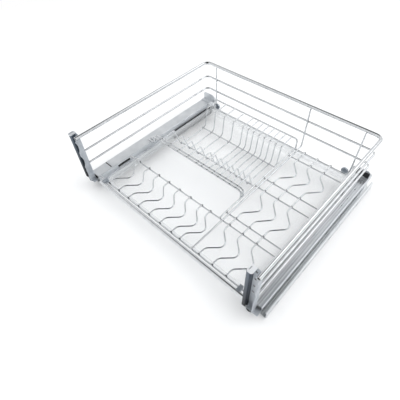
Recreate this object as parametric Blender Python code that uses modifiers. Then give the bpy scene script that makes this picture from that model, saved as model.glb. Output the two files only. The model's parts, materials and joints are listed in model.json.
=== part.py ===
"""Pull-out dish rack: a chrome wire basket with rows of bent plate wires, a lift-out plate
insert and a clear drip tray, carried on two three-part concealed slides.

Units are metres.  X runs across the rack, Y from the front (-Y) to the back, Z up.
The origin is the middle of the footprint, on the surface that the slides stand on.
"""

import math

import bmesh
import bpy
from mathutils import Matrix, Vector

# Whole rack
RAIL_SPAN = 0.520          # between the side runs of the top rail, centre to centre
RAIL_SETBACK = 0.016       # the rails' back run stands this far inside the slides' length
TOP_RAIL_Z = 0.165         # centre of the top rail above the floor
MIDDLE_RAIL_Z = 0.1225
LOWER_RAIL_Z = 0.084
BASE_WIRE_Z = 0.040        # centre of the wires that cross the base
CLEARANCE = 0.0003         # gap kept between pieces that touch
OVERRUN = 0.002            # how far a cutter passes its piece

# Wire and tube diameters
RAIL_TUBE = 0.0085
FRONT_TUBE = 0.010
RAIL_WIRE = 0.005
UPRIGHT_WIRE = 0.004
BASE_WIRE = 0.004
BACK_WIRE = 0.005
PARTITION_WIRE = 0.0045
BOWL_WIRE = 0.0035

# Bends
TUBE_BEND = 0.016          # plan radius of the top rail's back corners
RAIL_BEND = 0.013
UPRIGHT_BEND = 0.008

# Slides
SLIDE_LENGTH = 0.450       # the fixed member that is screwed in the cabinet
SLIDE_FRONT_GAP = 0.002    # from the front brackets' plane back to the fixed member
SLIDE_OUTER_REACH = 0.0235 # from the rail's centre out to the fixed member's wall
MEMBER_SHEET = 0.0014
MEMBER_HALF = 0.0117       # half the outer width of the fixed and the moving channel
MEMBER_LIP = 0.0067        # width of the lips that hold the middle beam
FIXED_HEIGHT = 0.013
FIXED_WALL_HEIGHT = 0.022
FIXED_WALL_LIP = 0.004
MOVING_HEIGHT = 0.0145
MEMBER_BEND = 0.002
MOVING_SHORTER = 0.006     # the moving member ends this much before the fixed one
BEAM_HEAD_HALF = 0.0065
BEAM_HEAD_HEIGHT = 0.0055
BEAM_WEB_HALF = 0.0012
BEAM_FLOOR_GAP = 0.0023    # from a member's sheet to the beam's head
BEAM_SETBACK = 0.006       # the beam starts this much behind the fixed member
BEAM_SHORTER = 0.018
FIXING_HOLE = 0.005
FIXING_SLOT_LENGTH = 0.012
FIXING_SHARES = (0.08, 0.30, 0.53, 0.82)  # fixing slots, of the slide's length

# Roller cages in the slides
CAGE_SHEET = 0.001
CAGE_LENGTH = 0.200
CAGE_GAP = 0.0004          # from a member's sheet to the cage
CAGE_HALF = 0.0094
CAGE_DEPTH = 0.0085
ROLLER_HEIGHT = 0.005
ROLLER_COUNT = 4
ROLLER_MARGIN = 0.015      # from the cage's end to its first roller
CAGE_START_LOW = 0.118     # behind the fixed member's front end, rack closed
CAGE_START_HIGH = 0.108

# Side channels of the basket, that cover the slides
CHANNEL_SHEET = 0.0012
CHANNEL_TOP_Z = 0.043
CHANNEL_IN = 0.019         # from the rail's centre in to the inner flange's face
CHANNEL_OUT = 0.0135
CHANNEL_OUTER_DEPTH = 0.013
CHANNEL_INNER_DEPTH = 0.016   # down to the ledge's upper face
CHANNEL_LEDGE = 0.0066     # width of the ledge that carries the drip tray
CHANNEL_BEND = 0.0018
SEAM_Y = 0.041             # the slot across the left channel, behind its bracket
SEAM_IN = 0.0145           # from the rail's centre in to the slot's end
SEAM_WIDTH = 0.0032
SEAM_LENGTH = 0.026
DEEP_SEAM_LENGTH = 0.016   # where the same slot goes on through the moving member
GROOVE_COUNT = 3           # rolled grooves along the right channel
GROOVE_IN = 0.0030         # from the rail's centre in to the first groove
GROOVE_PITCH = 0.0046
GROOVE_BAR = 0.003         # diameter of the roll that pressed them
GROOVE_DEPTH = 0.0004
SLOT_SHARES = (0.70, 0.76, 0.84, 0.90)    # the right channel's rear slots, along its length
SLOT_WIDTH = 0.0026
SLOT_LENGTH = 0.009
SLOT_IN = 0.013            # from the rail's centre in to a slot's middle
SIDE_HOLE = 0.0032         # a hole beside each rear slot
SIDE_HOLE_OUT = 0.0035
SLANT_SHARE = 0.7745       # the slot that crosses them at a slant
SLANT_IN = 0.0123
SLANT_LENGTH = 0.042
SLANT_WIDTH = 0.0016
SLANT_TURN = math.radians(11)
MARK_Y = 0.0405            # a short slot behind the right bracket
MARK_IN = 0.0064
MARK_LENGTH = 0.011
MARK_WIDTH = 0.0018
CHANNEL_HOLE_Y = 0.202
CHANNEL_HOLE = 0.005
STRIP_WIDTH = 0.0024       # buffer strips between the channels and the drip tray
STRIP_HEIGHT = 0.0014
STRIP_START = 0.265        # behind the front brackets' plane
STRIP_LENGTH = 0.156
LOCK_WINDOW_START = 0.058
LOCK_WINDOW_LENGTH = 0.040
LOCK_WINDOW_HEIGHT = 0.008

# Front brackets: a folded channel open to the front
BRACKET_SHEET = 0.0015
BRACKET_HEAD = 0.0035      # above the top rail's centre
BRACKET_REACH = 0.020      # forward of the rails' ends
BRACKET_LIP_Y = 0.017      # the left lip stands this far forward
BRACKET_BACK_Y = 0.0045    # the back plate stands this far forward
BRACKET_LIP_X = 0.0232     # from the rail's centre to the lip's edge
BRACKET_WEB_X = 0.017      # from the rail's centre to the left wall
BRACKET_WALL_X = 0.0018    # from the rail's centre to the right wall
BRACKET_HOLE = 0.0045
BRACKET_HOLE_X = 0.0105
BRACKET_HOLE_SHARES = (0.50, 0.64, 0.79, 0.94)  # up the bracket
BRACKET_BEND = 0.0022
CAP_IN_X = 0.011           # from the rail's centre to the cap's near edge
CAP_SHEET = 0.0016
CAP_CORNER = 0.003
CAP_SLOT_WIDTH = 0.0022
CAP_SLOT_LENGTH = 0.010
CAP_SLOT_EDGE = 0.0032     # from the cap's edge to the slot's middle
WALL_CORNER = 0.0055       # cut off the right wall's upper front corner
WALL_WAVE = 0.072          # diameter of the hollows in the right wall's front edge
WALL_WAVE_DEPTH = 0.004
WALL_WAVE_SHARES = (0.575, 0.835)
TOP_RAIL_SETBACK = 0.004   # of the top rail's ends, behind the brackets' front edge
FOOT_Z = 0.0285            # underside of the foot plate
FOOT_LEFT = 0.0185
FOOT_RIGHT = 0.013
FOOT_FRONT = 0.017

# Rear plates that stand on the side channels
PLATE_SHEET = 0.0015
PLATE_HEIGHT = 0.0235
PLATE_IN = 0.032           # from the rail's centre inward
PLATE_OUT = 0.012
PLATE_FOOT = 0.013
PLATE_CORNER = 0.006
PLATE_SETBACK = 0.004      # in front of the rails' back run
CATCH_IN = 0.0205          # the catch on the right plate, from the rail's centre
CATCH_OUT = 0.0105
CATCH_RISE = 0.0050        # above the plate's foot
CATCH_HEIGHT = 0.0125
CATCH_SHEET = 0.0015
CATCH_PAD_DEPTH = 0.0030
CATCH_PAD_IN = 0.0120      # width of its inner and outer pads
CATCH_PAD_OUT = 0.0095
CATCH_BORE = 0.0055
KNOB = 0.017               # discs at the feet of the outer uprights
KNOB_LENGTH = 0.004
KNOB_SETBACK = 0.0125      # in front of the rails' back run
KNOB_Z = 0.0435
KNOB_SLOT_WIDTH = 0.0024
KNOB_SLOT_DEPTH = 0.0012

# Base wires, measured back from the front brackets' plane
FRONT_WIRE_Y = 0.002
FRONT_BAR_Y = -0.009
FRONT_BAR_Z = 0.042
FRONT_BAR_LEFT_X = 0.036
BACK_WIRE_SETBACK = 0.021  # in front of the rails' back run
BOWL_BACK_SHARE = 0.2373   # cross wires, of the rails' run
RIGHT_CROSS_SHARES = (0.2915, 0.5438, 0.6233, 0.8756)
WIRE_END = 0.003           # how far a wire runs past the one it is welded to
BACK_END = 0.0005          # the same at the back wire

# Plate wires, as shares of the rails' span from the left
BOWL_FIRST_SHARE = 0.1115
BOWL_PITCH_SHARE = 0.0719
BOWL_EVEN_COUNT = 7
BOWL_LAST_SHARE = 0.0510   # the narrower last gap
PARTITION_SHARE = 0.6654
RACK_SIDE_SHARE = 0.6481
LONG_FIRST_SHARE = 0.7038
LONG_COUNT = 3
CHEVRON_PEAK = 0.033       # where the two legs of a bow would meet, sideways of the wire
CHEVRON_STRAIGHT = 0.020   # from a cross wire to the corner of a leg
CHEVRON_END_BEND = 0.018
CHEVRON_TIP_BEND = 0.015

# Back uprights
UPRIGHT_LEFT_X = 0.041     # from the left rail
UPRIGHT_RIGHT_X = 0.0348   # from the right rail
UPRIGHT_CENTRE_SHARE = 0.6627

# Plate insert: a wire trough that lifts out
INSERT_RIB = 0.0032
INSERT_BACK_WIRE = 0.004
INSERT_FRONT_WIRE = 0.005
INSERT_FLOOR_WIRE = 0.0035
INSERT_FIRST_SHARE = 0.1154  # ribs, of the rails' span
INSERT_WIDE_SHARE = 0.0644
INSERT_WIDE_COUNT = 5
INSERT_NARROW_SHARE = 0.0346
INSERT_NARROW_COUNT = 7
INSERT_LEFT_X = 0.0495     # the back rail's left leg
INSERT_HOOK_X = 0.031      # the front rails' left legs
INSERT_RAIL_Z = 0.0735     # centre of the back rail
INSERT_LEDGE_Z = 0.0705    # the ribs' upper bends
INSERT_FLOOR_Z = 0.0095    # the ribs' bottom run
INSERT_FRONT_Z = 0.069
INSERT_WALL_FOOT_RISE = 0.006
INSERT_WALL_TOP_SHARE = 0.8410   # bends of a rib, of the rails' run
INSERT_WALL_FOOT_SHARE = 0.8226
INSERT_FLOOR_BACK_SHARE = 0.8018
INSERT_FLOOR_FRONT_SHARE = 0.5760
INSERT_TOOTH_SHARE = 0.5300
INSERT_FRONT_SHARE = 0.4101
INSERT_FRONT_PITCH = 0.008 # between the two front rails
INSERT_BEND = 0.004
INSERT_LEG_BEND = 0.007
INSERT_HOOK_REACH = 0.012  # how far the feet lie on the side channel
INSERT_SINK = 0.0005       # how far welded wires sink into each other

# Drip tray
TRAY_SHEET = 0.0015
TRAY_FLOOR_Z = 0.0040      # underside of the floor
TRAY_RIM = 0.009
TRAY_DRAFT = 0.006
TRAY_CORNER = 0.022
TRAY_CORNER_STEPS = 4
TRAY_FRONT_Y = 0.006
TRAY_SETBACK = 0.010       # in front of the rails' back run
TRAY_PANEL_MARGIN = 0.010
TRAY_PANEL_STEP = 0.003
TRAY_PANEL_DEPTH = 0.0008

# Lock housings and release levers beside the moving members
LOCK_START_Y = 0.050
LOCK_LENGTH = 0.060
LOCK_HEIGHT = 0.0125
LOCK_SLOT_LENGTH = 0.020
LOCK_SLOT_DEPTH = 0.0085
LEVER_PIVOT_Y = 0.094
LEVER_PIVOT_RISE = 0.0040  # from the housing's underside to the pivot
LEVER_HEAD_HALF = 0.0032
LEVER_DROP = 0.0078        # from the pivot down to the arm's upper face
LEVER_ARM = 0.005
LEVER_LENGTH = 0.034
LEVER_GRIP = 0.014
LEVER_GRIP_DROP = 0.0016
LEVER_THICK = 0.0028
LEVER_SIDE_GAP = 0.0004
PIVOT_PIN = 0.0030
PIVOT_CLEARANCE = 0.0004

# Soft-close housings on the fixed members
DAMPER_LENGTH = 0.170
DAMPER_BACK_GAP = 0.020
DAMPER_WIDTH = 0.0095
DAMPER_HEIGHT = 0.021
DAMPER_BEVEL = 0.0025

# Small clips that join the front bar and the front wire
CLIP_MARGIN = 0.0115       # from the first plate wire to the left clip
CLIP_RIGHT_X = 0.042       # from the right rail
CLIP_WIDTH = 0.008
CLIP_SHEET = 0.0018

# Worked out from the sizes above
FRONT_Y = BRACKET_REACH - (BRACKET_REACH + SLIDE_FRONT_GAP + SLIDE_LENGTH) / 2
LEFT_X = -RAIL_SPAN / 2
RIGHT_X = RAIL_SPAN / 2
RAIL_RUN = SLIDE_LENGTH - RAIL_SETBACK
BACK_Y = FRONT_Y + RAIL_RUN
BOWL_BACK_Y = RAIL_RUN * BOWL_BACK_SHARE
RIGHT_CROSS_Y = [RAIL_RUN * share for share in RIGHT_CROSS_SHARES]
BACK_WIRE_Y = RAIL_RUN - BACK_WIRE_SETBACK
BOWL_FIRST_X = RAIL_SPAN * BOWL_FIRST_SHARE
PARTITION_X = RAIL_SPAN * PARTITION_SHARE
RACK_SIDE_X = RAIL_SPAN * RACK_SIDE_SHARE
BASE_TOP_Z = BASE_WIRE_Z + BASE_WIRE / 2
BOWL_Z = BASE_TOP_Z + CLEARANCE + BOWL_WIRE / 2
MOVING_TOP_Z = CHANNEL_TOP_Z - CHANNEL_SHEET - CLEARANCE
RACK_SIDE_Z = BASE_TOP_Z + CLEARANCE + BASE_WIRE / 2
LEDGE_Z = CHANNEL_TOP_Z - CHANNEL_INNER_DEPTH
SLIDE_Y = FRONT_Y + SLIDE_FRONT_GAP
BRACKET_TOP_Z = TOP_RAIL_Z + BRACKET_HEAD
CHANNEL_START = FRONT_Y - BRACKET_BACK_Y + BRACKET_SHEET / 2 + CLEARANCE
CHANNEL_LENGTH = SLIDE_Y + SLIDE_LENGTH - CHANNEL_START
STRIP_IN = CHANNEL_IN + CHANNEL_BEND / 2   # clear of the fold at the ledge
TRAY_REACH = RAIL_SPAN / 2 - STRIP_IN - STRIP_WIDTH - 2 * CLEARANCE
UPRIGHT_X = {"left": LEFT_X + UPRIGHT_LEFT_X, "right": RIGHT_X - UPRIGHT_RIGHT_X,
             "centre": LEFT_X + RAIL_SPAN * UPRIGHT_CENTRE_SHARE}
ROLLER_X = (BEAM_HEAD_HALF + MEMBER_HALF - MEMBER_SHEET) / 2
ROLLER = MEMBER_HALF - MEMBER_SHEET - BEAM_HEAD_HALF - 2 * CLEARANCE
LOCK_OUT_X = MEMBER_HALF + CLEARANCE
LOCK_IN_X = CHANNEL_IN - CHANNEL_SHEET - CLEARANCE
LOCK_TOP_Z = CHANNEL_TOP_Z - CHANNEL_SHEET - CHANNEL_BEND / 2   # clear of the fold
LEVER_PIVOT_Z = LOCK_TOP_Z - LOCK_HEIGHT + LEVER_PIVOT_RISE

MATERIALS = {
    "chrome": ((0.80, 0.82, 0.84), 0.12, 1.0),
    "zinc_plate": ((0.46, 0.51, 0.56), 0.38, 1.0),
    "white_steel": ((0.72, 0.75, 0.78), 0.40, 0.6),
    "slide_steel": ((0.60, 0.62, 0.64), 0.32, 1.0),
    "tray_plastic": ((0.86, 0.90, 0.92), 0.25, 0.0),
    "black_plastic": ((0.03, 0.03, 0.035), 0.45, 0.0),
    "cage_plastic": ((0.75, 0.74, 0.70), 0.50, 0.0),
}


# Scene and materials

def clear_scene():
    for found in list(bpy.data.objects):
        bpy.data.objects.remove(found, do_unlink=True)


def collection(name):
    made = bpy.data.collections.new(name)
    bpy.context.scene.collection.children.link(made)
    return made


def material(name):
    if name in bpy.data.materials:
        return bpy.data.materials[name]
    colour, roughness, metallic = MATERIALS[name]
    made = bpy.data.materials.new(name)
    made.use_nodes = True
    shader = made.node_tree.nodes["Principled BSDF"]
    shader.inputs["Base Color"].default_value = (*colour, 1.0)
    shader.inputs["Roughness"].default_value = roughness
    shader.inputs["Metallic"].default_value = metallic
    return made


clear_scene()
RACK = collection("pull_out_dish_rack")
CUTTERS = collection("cutters")


def place(made, finish, home=None):
    (home or RACK).objects.link(made)
    made.data.materials.append(material(finish))
    return made


def as_cutter(made):
    made.hide_render = True
    made.display_type = "WIRE"
    return made


# Paths and outlines

def fillet(corners, radius, steps):
    """The path with each inner corner rounded by an arc of so many steps."""
    corners = [Vector(corner) for corner in corners]
    path = [corners[0]]
    for before, corner, after in zip(corners, corners[1:], corners[2:]):
        to_before = (before - corner).normalized()
        to_after = (after - corner).normalized()
        turn = math.pi - to_before.angle(to_after)
        if turn < math.radians(1):
            path.append(corner)
            continue
        room = min((before - corner).length, (after - corner).length) / 2
        setback = min(radius * math.tan(turn / 2), room)
        bend = setback / math.tan(turn / 2)
        centre_way = (to_before + to_after).normalized()
        centre = corner + centre_way * (bend / math.cos(turn / 2))
        start = corner + to_before * setback - centre
        end = corner + to_after * setback - centre
        for step in range(steps + 1):
            share = step / steps
            path.append(centre + start.slerp(end, share).normalized() * bend)
    path.append(corners[-1])
    return path


def sheet_outline(corners, thickness, bend, steps=2):
    """The closed outline of a sheet folded along a path in its section's plane."""
    path = [corner.to_2d() for corner in fillet([(x, z, 0) for x, z in corners], bend, steps)]
    sides = ([], [])
    for index, point in enumerate(path):
        ahead = (path[min(index + 1, len(path) - 1)] - point)
        behind = (point - path[max(index - 1, 0)])
        ahead = ahead.normalized() if ahead.length else behind.normalized()
        behind = behind.normalized() if behind.length else ahead
        normal = (ahead + behind).normalized().orthogonal()
        reach = thickness / 2 / max(normal.dot(ahead.orthogonal()), math.cos(math.radians(60)))
        sides[0].append(point + normal * reach)
        sides[1].append(point - normal * reach)
    return sides[0] + sides[1][::-1]


def mirrored(outline, side):
    """An outline drawn outward from the rail's centre, on the left or right."""
    points = [(side * x, z) for x, z in outline]
    return points if side > 0 else points[::-1]


# Solids

def wire(name, route, diameter, finish, bend=0, steps=3, sides=2, home=None):
    """A round wire along a route, its bends rounded and its ends closed."""
    path = fillet(route, bend, steps) if bend else [Vector(point) for point in route]
    curve = bpy.data.curves.new(name, "CURVE")
    curve.dimensions = "3D"
    curve.bevel_depth = diameter / 2
    curve.bevel_resolution = sides
    curve.use_fill_caps = True
    curve.render_resolution_u = 0
    spline = curve.splines.new("POLY")
    spline.points.add(len(path) - 1)
    for knot, point in zip(spline.points, path):
        knot.co = (*point, 1)
    spline.use_smooth = True
    return place(bpy.data.objects.new(name, curve), finish, home)


def section(name, outline, start, length, finish, home=None):
    """An outline in the X-Z plane drawn along Y from its start."""
    curve = bpy.data.curves.new(name, "CURVE")
    curve.dimensions = "2D"
    curve.fill_mode = "BOTH"
    curve.extrude = length / 2
    curve.render_resolution_u = 0
    spline = curve.splines.new("POLY")
    spline.points.add(len(outline) - 1)
    for knot, (x, z) in zip(spline.points, outline):
        knot.co = (x, z, 0, 1)
    spline.use_cyclic_u = True
    made = bpy.data.objects.new(name, curve)
    made.location = (0, start + length / 2, 0)
    made.rotation_euler = (math.pi / 2, 0, 0)
    return place(made, finish, home)


def upright_sheet(name, outline, base, height, finish, home=None):
    """An outline in plan drawn upward from its base."""
    made = section(name, outline, 0, height, finish, home)
    made.rotation_euler = (0, 0, 0)
    made.location = (0, 0, base + height / 2)
    return made


def block(name, low, high, finish, home=None):
    """A box between two corners."""
    low, high = Vector(low), Vector(high)
    shape = bmesh.new()
    bmesh.ops.create_cube(shape, size=1)
    size = high - low
    bmesh.ops.scale(shape, vec=size, verts=shape.verts)
    mesh = bpy.data.meshes.new(name)
    shape.to_mesh(mesh)
    shape.free()
    made = bpy.data.objects.new(name, mesh)
    made.location = (low + high) / 2
    return place(made, finish, home)


def rod(name, centre, diameter, length, axis, finish, sides=12, home=None):
    """A round bar or a round cutter along X, Y or Z."""
    shape = bmesh.new()
    bmesh.ops.create_cone(shape, cap_ends=True, segments=sides,
                          radius1=diameter / 2, radius2=diameter / 2, depth=length)
    turn = {"X": Matrix.Rotation(math.pi / 2, 3, "Y"),
            "Y": Matrix.Rotation(math.pi / 2, 3, "X"),
            "Z": Matrix.Identity(3)}[axis]
    bmesh.ops.transform(shape, matrix=turn.to_4x4(), verts=shape.verts)
    mesh = bpy.data.meshes.new(name)
    shape.to_mesh(mesh)
    shape.free()
    made = bpy.data.objects.new(name, mesh)
    made.location = centre
    return place(made, finish, home)


def to_mesh(made):
    """The same piece as a welded mesh, so that it can be cut and joined."""
    bpy.context.view_layer.update()
    evaluated = made.evaluated_get(bpy.context.evaluated_depsgraph_get())
    mesh = bpy.data.meshes.new_from_object(evaluated)
    shape = bmesh.new()
    shape.from_mesh(mesh)
    bmesh.ops.remove_doubles(shape, verts=shape.verts, dist=CLEARANCE / 100)
    bmesh.ops.recalc_face_normals(shape, faces=shape.faces)
    shape.to_mesh(mesh)
    shape.free()
    home = made.users_collection[0]
    name = made.name
    solid = bpy.data.objects.new(name + "_mesh", mesh)
    solid.matrix_world = made.matrix_world.copy()
    home.objects.link(solid)
    bpy.data.objects.remove(made, do_unlink=True)
    solid.name = name
    return solid


def combine(made, others, operation):
    """Cuts the other pieces from this one, or joins them to it."""
    for other in others:
        as_cutter(other)
        step = made.modifiers.new(operation.lower(), "BOOLEAN")
        step.operation = operation
        step.solver = "EXACT"
        step.object = other
    return made


# The basket's rails: a tube on top and two wires below it, open to the front

def rail(name, z, diameter, bend, front):
    return wire(name, [(LEFT_X, front, z), (LEFT_X, BACK_Y, z),
                       (RIGHT_X, BACK_Y, z), (RIGHT_X, front, z)],
                diameter, "chrome", bend, steps=5)


def rails():
    rail("top_rail", TOP_RAIL_Z, RAIL_TUBE, TUBE_BEND,
         FRONT_Y - BRACKET_REACH + TOP_RAIL_SETBACK)
    behind = FRONT_Y - BRACKET_BACK_Y + BRACKET_SHEET / 2 + CLEARANCE
    rail("middle_rail", MIDDLE_RAIL_Z, RAIL_WIRE, RAIL_BEND, behind)
    rail("lower_rail", LOWER_RAIL_Z, RAIL_WIRE, RAIL_BEND, behind)


def back_uprights():
    """Wires inside the back rails that turn forward onto the back base wire."""
    near = RAIL_WIRE / 2 + CLEARANCE
    y = BACK_Y - near - UPRIGHT_WIRE / 2
    top = TOP_RAIL_Z - math.sqrt((RAIL_TUBE / 2) ** 2 - near ** 2) - CLEARANCE
    low = BASE_TOP_Z + CLEARANCE + UPRIGHT_WIRE / 2
    for name, x in UPRIGHT_X.items():
        wire("back_upright_" + name,
             [(x, y, top), (x, y, low), (x, FRONT_Y + BACK_WIRE_Y - WIRE_END, low)],
             UPRIGHT_WIRE, "chrome", UPRIGHT_BEND)


# The base: wires across, and bowed plate wires on top of them

def cross_wire(name, y, left, right, diameter=BASE_WIRE):
    z = BASE_TOP_Z - diameter / 2
    return wire(name, [(left, FRONT_Y + y, z), (right, FRONT_Y + y, z)], diameter, "chrome")


def along_wire(name, x, start, end, diameter):
    z = BASE_TOP_Z + CLEARANCE + diameter / 2
    return wire(name, [(LEFT_X + x, FRONT_Y + start, z), (LEFT_X + x, FRONT_Y + end, z)],
                diameter, "chrome")


def base_wires():
    left = LEFT_X + CHANNEL_IN + CLEARANCE
    right = RIGHT_X - CHANNEL_IN - CLEARANCE
    cross_wire("front_wire", FRONT_WIRE_Y, left, right)
    cross_wire("bowl_back_wire", BOWL_BACK_Y, left, right)
    cross_wire("back_wire", BACK_WIRE_Y, left, right, BACK_WIRE)
    for number, y in enumerate(RIGHT_CROSS_Y, 1):
        cross_wire(f"right_cross_wire_{number}", y, LEFT_X + RACK_SIDE_X - WIRE_END, right)
    along_wire("partition_wire", PARTITION_X, FRONT_WIRE_Y - WIRE_END,
               BACK_WIRE_Y - WIRE_END - CLEARANCE, PARTITION_WIRE)
    along_wire("rack_side_wire", RACK_SIDE_X, BOWL_BACK_Y - WIRE_END,
               BACK_WIRE_Y + BACK_END, BASE_WIRE)


def plate_wire(name, x, bows, end):
    """A plate wire that bows sideways once between each pair of cross wires."""
    path = [Vector((x, FRONT_Y + bows[0][0] - WIRE_END, BOWL_Z))]
    route = []
    for near, far in bows:
        route += [(x, FRONT_Y + near + CHEVRON_STRAIGHT, BOWL_Z),
                  (x + CHEVRON_PEAK, FRONT_Y + (near + far) / 2, BOWL_Z),
                  (x, FRONT_Y + far - CHEVRON_STRAIGHT, BOWL_Z)]
    last = (x, FRONT_Y + end, BOWL_Z)
    for number, corner in enumerate(route):
        before = route[number - 1] if number else path[0]
        after = route[number + 1] if number + 1 < len(route) else last
        tip = number % 3 == 1
        bend = CHEVRON_TIP_BEND if tip else CHEVRON_END_BEND
        path += fillet([before, corner, after], bend, 4 if tip else 2)[1:-1]
    path.append(Vector(last))
    return wire(name, path, BOWL_WIRE, "chrome")


def plate_wires():
    pitch = RAIL_SPAN * BOWL_PITCH_SHARE
    places = [BOWL_FIRST_X + pitch * number for number in range(BOWL_EVEN_COUNT)]
    places.append(places[-1] + RAIL_SPAN * BOWL_LAST_SHARE)
    front_bow = (FRONT_WIRE_Y, BOWL_BACK_Y)
    for number, x in enumerate(places, 1):
        plate_wire(f"bowl_wire_{number}", LEFT_X + x, [front_bow], BOWL_BACK_Y + WIRE_END)
    bows = [front_bow, RIGHT_CROSS_Y[0:2], RIGHT_CROSS_Y[2:4]]
    for number in range(LONG_COUNT):
        x = LEFT_X + RAIL_SPAN * LONG_FIRST_SHARE + pitch * number
        plate_wire(f"long_bowl_wire_{number + 1}", x, bows, BACK_WIRE_Y + BACK_END)


# The front bar and its clips

def front_bar():
    right = RIGHT_X - BRACKET_WEB_X - BRACKET_SHEET / 2 - CLEARANCE
    y = FRONT_Y + FRONT_BAR_Y
    wire("front_bar", [(LEFT_X + FRONT_BAR_LEFT_X, y, FRONT_BAR_Z), (right, y, FRONT_BAR_Z)],
         FRONT_TUBE, "chrome", sides=4)


def front_clip(name, x):
    """A saddle over the bar and the wire behind it."""
    wire_z = BASE_TOP_Z - BASE_WIRE / 2
    clip = block(name,
                 (x - CLIP_WIDTH / 2, FRONT_Y + FRONT_BAR_Y, wire_z),
                 (x + CLIP_WIDTH / 2, FRONT_Y + FRONT_WIRE_Y + BASE_WIRE / 2 + CLIP_SHEET,
                  FRONT_BAR_Z + FRONT_TUBE / 2 + CLIP_SHEET), "zinc_plate")
    long = CLIP_WIDTH + OVERRUN
    cuts = [rod(name + "_bar", (x, FRONT_Y + FRONT_BAR_Y, FRONT_BAR_Z),
                FRONT_TUBE + 2 * CLEARANCE, long, "X", "zinc_plate", 16, CUTTERS),
            rod(name + "_wire", (x, FRONT_Y + FRONT_WIRE_Y, wire_z),
                BASE_WIRE + 2 * CLEARANCE, long, "X", "zinc_plate", 12, CUTTERS)]
    combine(clip, cuts, "DIFFERENCE")


# The lift-out plate insert

def insert_wire(name, route, diameter, bend=INSERT_LEG_BEND, sides=2):
    return to_mesh(wire(name, route, diameter, "chrome", bend, 2, sides, CUTTERS))


def insert_rib(name, x):
    """One rib: back rail, down into the trough, forward, and up to the front rails."""
    profile = ((INSERT_WALL_TOP_SHARE, INSERT_LEDGE_Z),
               (INSERT_WALL_FOOT_SHARE, INSERT_FLOOR_Z + INSERT_WALL_FOOT_RISE),
               (INSERT_FLOOR_BACK_SHARE, INSERT_FLOOR_Z),
               (INSERT_FLOOR_FRONT_SHARE, INSERT_FLOOR_Z),
               (INSERT_TOOTH_SHARE, INSERT_LEDGE_Z), (INSERT_FRONT_SHARE, INSERT_FRONT_Z))
    route = [(x, FRONT_Y + BACK_WIRE_Y, INSERT_RAIL_Z)]
    route += [(x, FRONT_Y + RAIL_RUN * share, z) for share, z in profile]
    return insert_wire(name, route, INSERT_RIB, INSERT_BEND, 1)


def plate_insert():
    wide = [INSERT_FIRST_SHARE + INSERT_WIDE_SHARE * number for number in range(INSERT_WIDE_COUNT)]
    narrow = [wide[-1] + INSERT_NARROW_SHARE * (number + 1) for number in range(INSERT_NARROW_COUNT)]
    ribs = [LEFT_X + RAIL_SPAN * share for share in wide + narrow]
    right = LEFT_X + RACK_SIDE_X
    back_y = FRONT_Y + BACK_WIRE_Y
    foot_z = RACK_SIDE_Z + BASE_WIRE / 2 + CLEARANCE
    hook_z = CHANNEL_TOP_Z + CLEARANCE + INSERT_FRONT_WIRE / 2
    back_left = LEFT_X + INSERT_LEFT_X
    insert = insert_wire("plate_insert", [
        (back_left, back_y, BASE_TOP_Z + CLEARANCE), (back_left, back_y, INSERT_RAIL_Z),
        (right, back_y, INSERT_RAIL_Z), (right, back_y, foot_z)], INSERT_BACK_WIRE)
    pieces = [insert_rib(f"rib_{number}", x) for number, x in enumerate(ribs)]
    hook_x = LEFT_X + INSERT_HOOK_X
    for number in range(2):
        y = FRONT_Y + RAIL_RUN * INSERT_FRONT_SHARE + INSERT_FRONT_PITCH * number
        z = INSERT_FRONT_Z - INSERT_SINK * number
        pieces.append(insert_wire(f"insert_front_{number}", [
            (LEFT_X + CHANNEL_IN - INSERT_HOOK_REACH, y, hook_z), (hook_x, y, hook_z),
            (hook_x, y, z), (right, y, z), (right, y, foot_z)], INSERT_FRONT_WIRE))
    floor_z = INSERT_FLOOR_Z + INSERT_RIB / 2 + INSERT_FLOOR_WIRE / 2 - INSERT_SINK
    for number, share in enumerate((INSERT_FLOOR_BACK_SHARE, INSERT_FLOOR_FRONT_SHARE)):
        inward = INSERT_FLOOR_WIRE * (2 * number - 1)
        y = FRONT_Y + RAIL_RUN * share + inward
        pieces.append(insert_wire(f"insert_floor_{number}", [
            (ribs[0] - WIRE_END, y, floor_z), (ribs[-1] + WIRE_END, y, floor_z)],
            INSERT_FLOOR_WIRE, 0))
    combine(insert, pieces, "UNION")
    RACK.objects.link(insert)
    CUTTERS.objects.unlink(insert)
    insert.data.shade_smooth()


# The drip tray

def rounded_ring(shape, low, high, z, corner):
    """A ring of points round a rectangle with round corners, anticlockwise from above."""
    ring = []
    centres = ((high.x - corner, high.y - corner), (low.x + corner, high.y - corner),
               (low.x + corner, low.y + corner), (high.x - corner, low.y + corner))
    for number, (x, y) in enumerate(centres):
        for step in range(TRAY_CORNER_STEPS + 1):
            angle = math.pi / 2 * (number + step / TRAY_CORNER_STEPS)
            ring.append(shape.verts.new((x + corner * math.cos(angle),
                                         y + corner * math.sin(angle), z)))
    return ring


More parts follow.
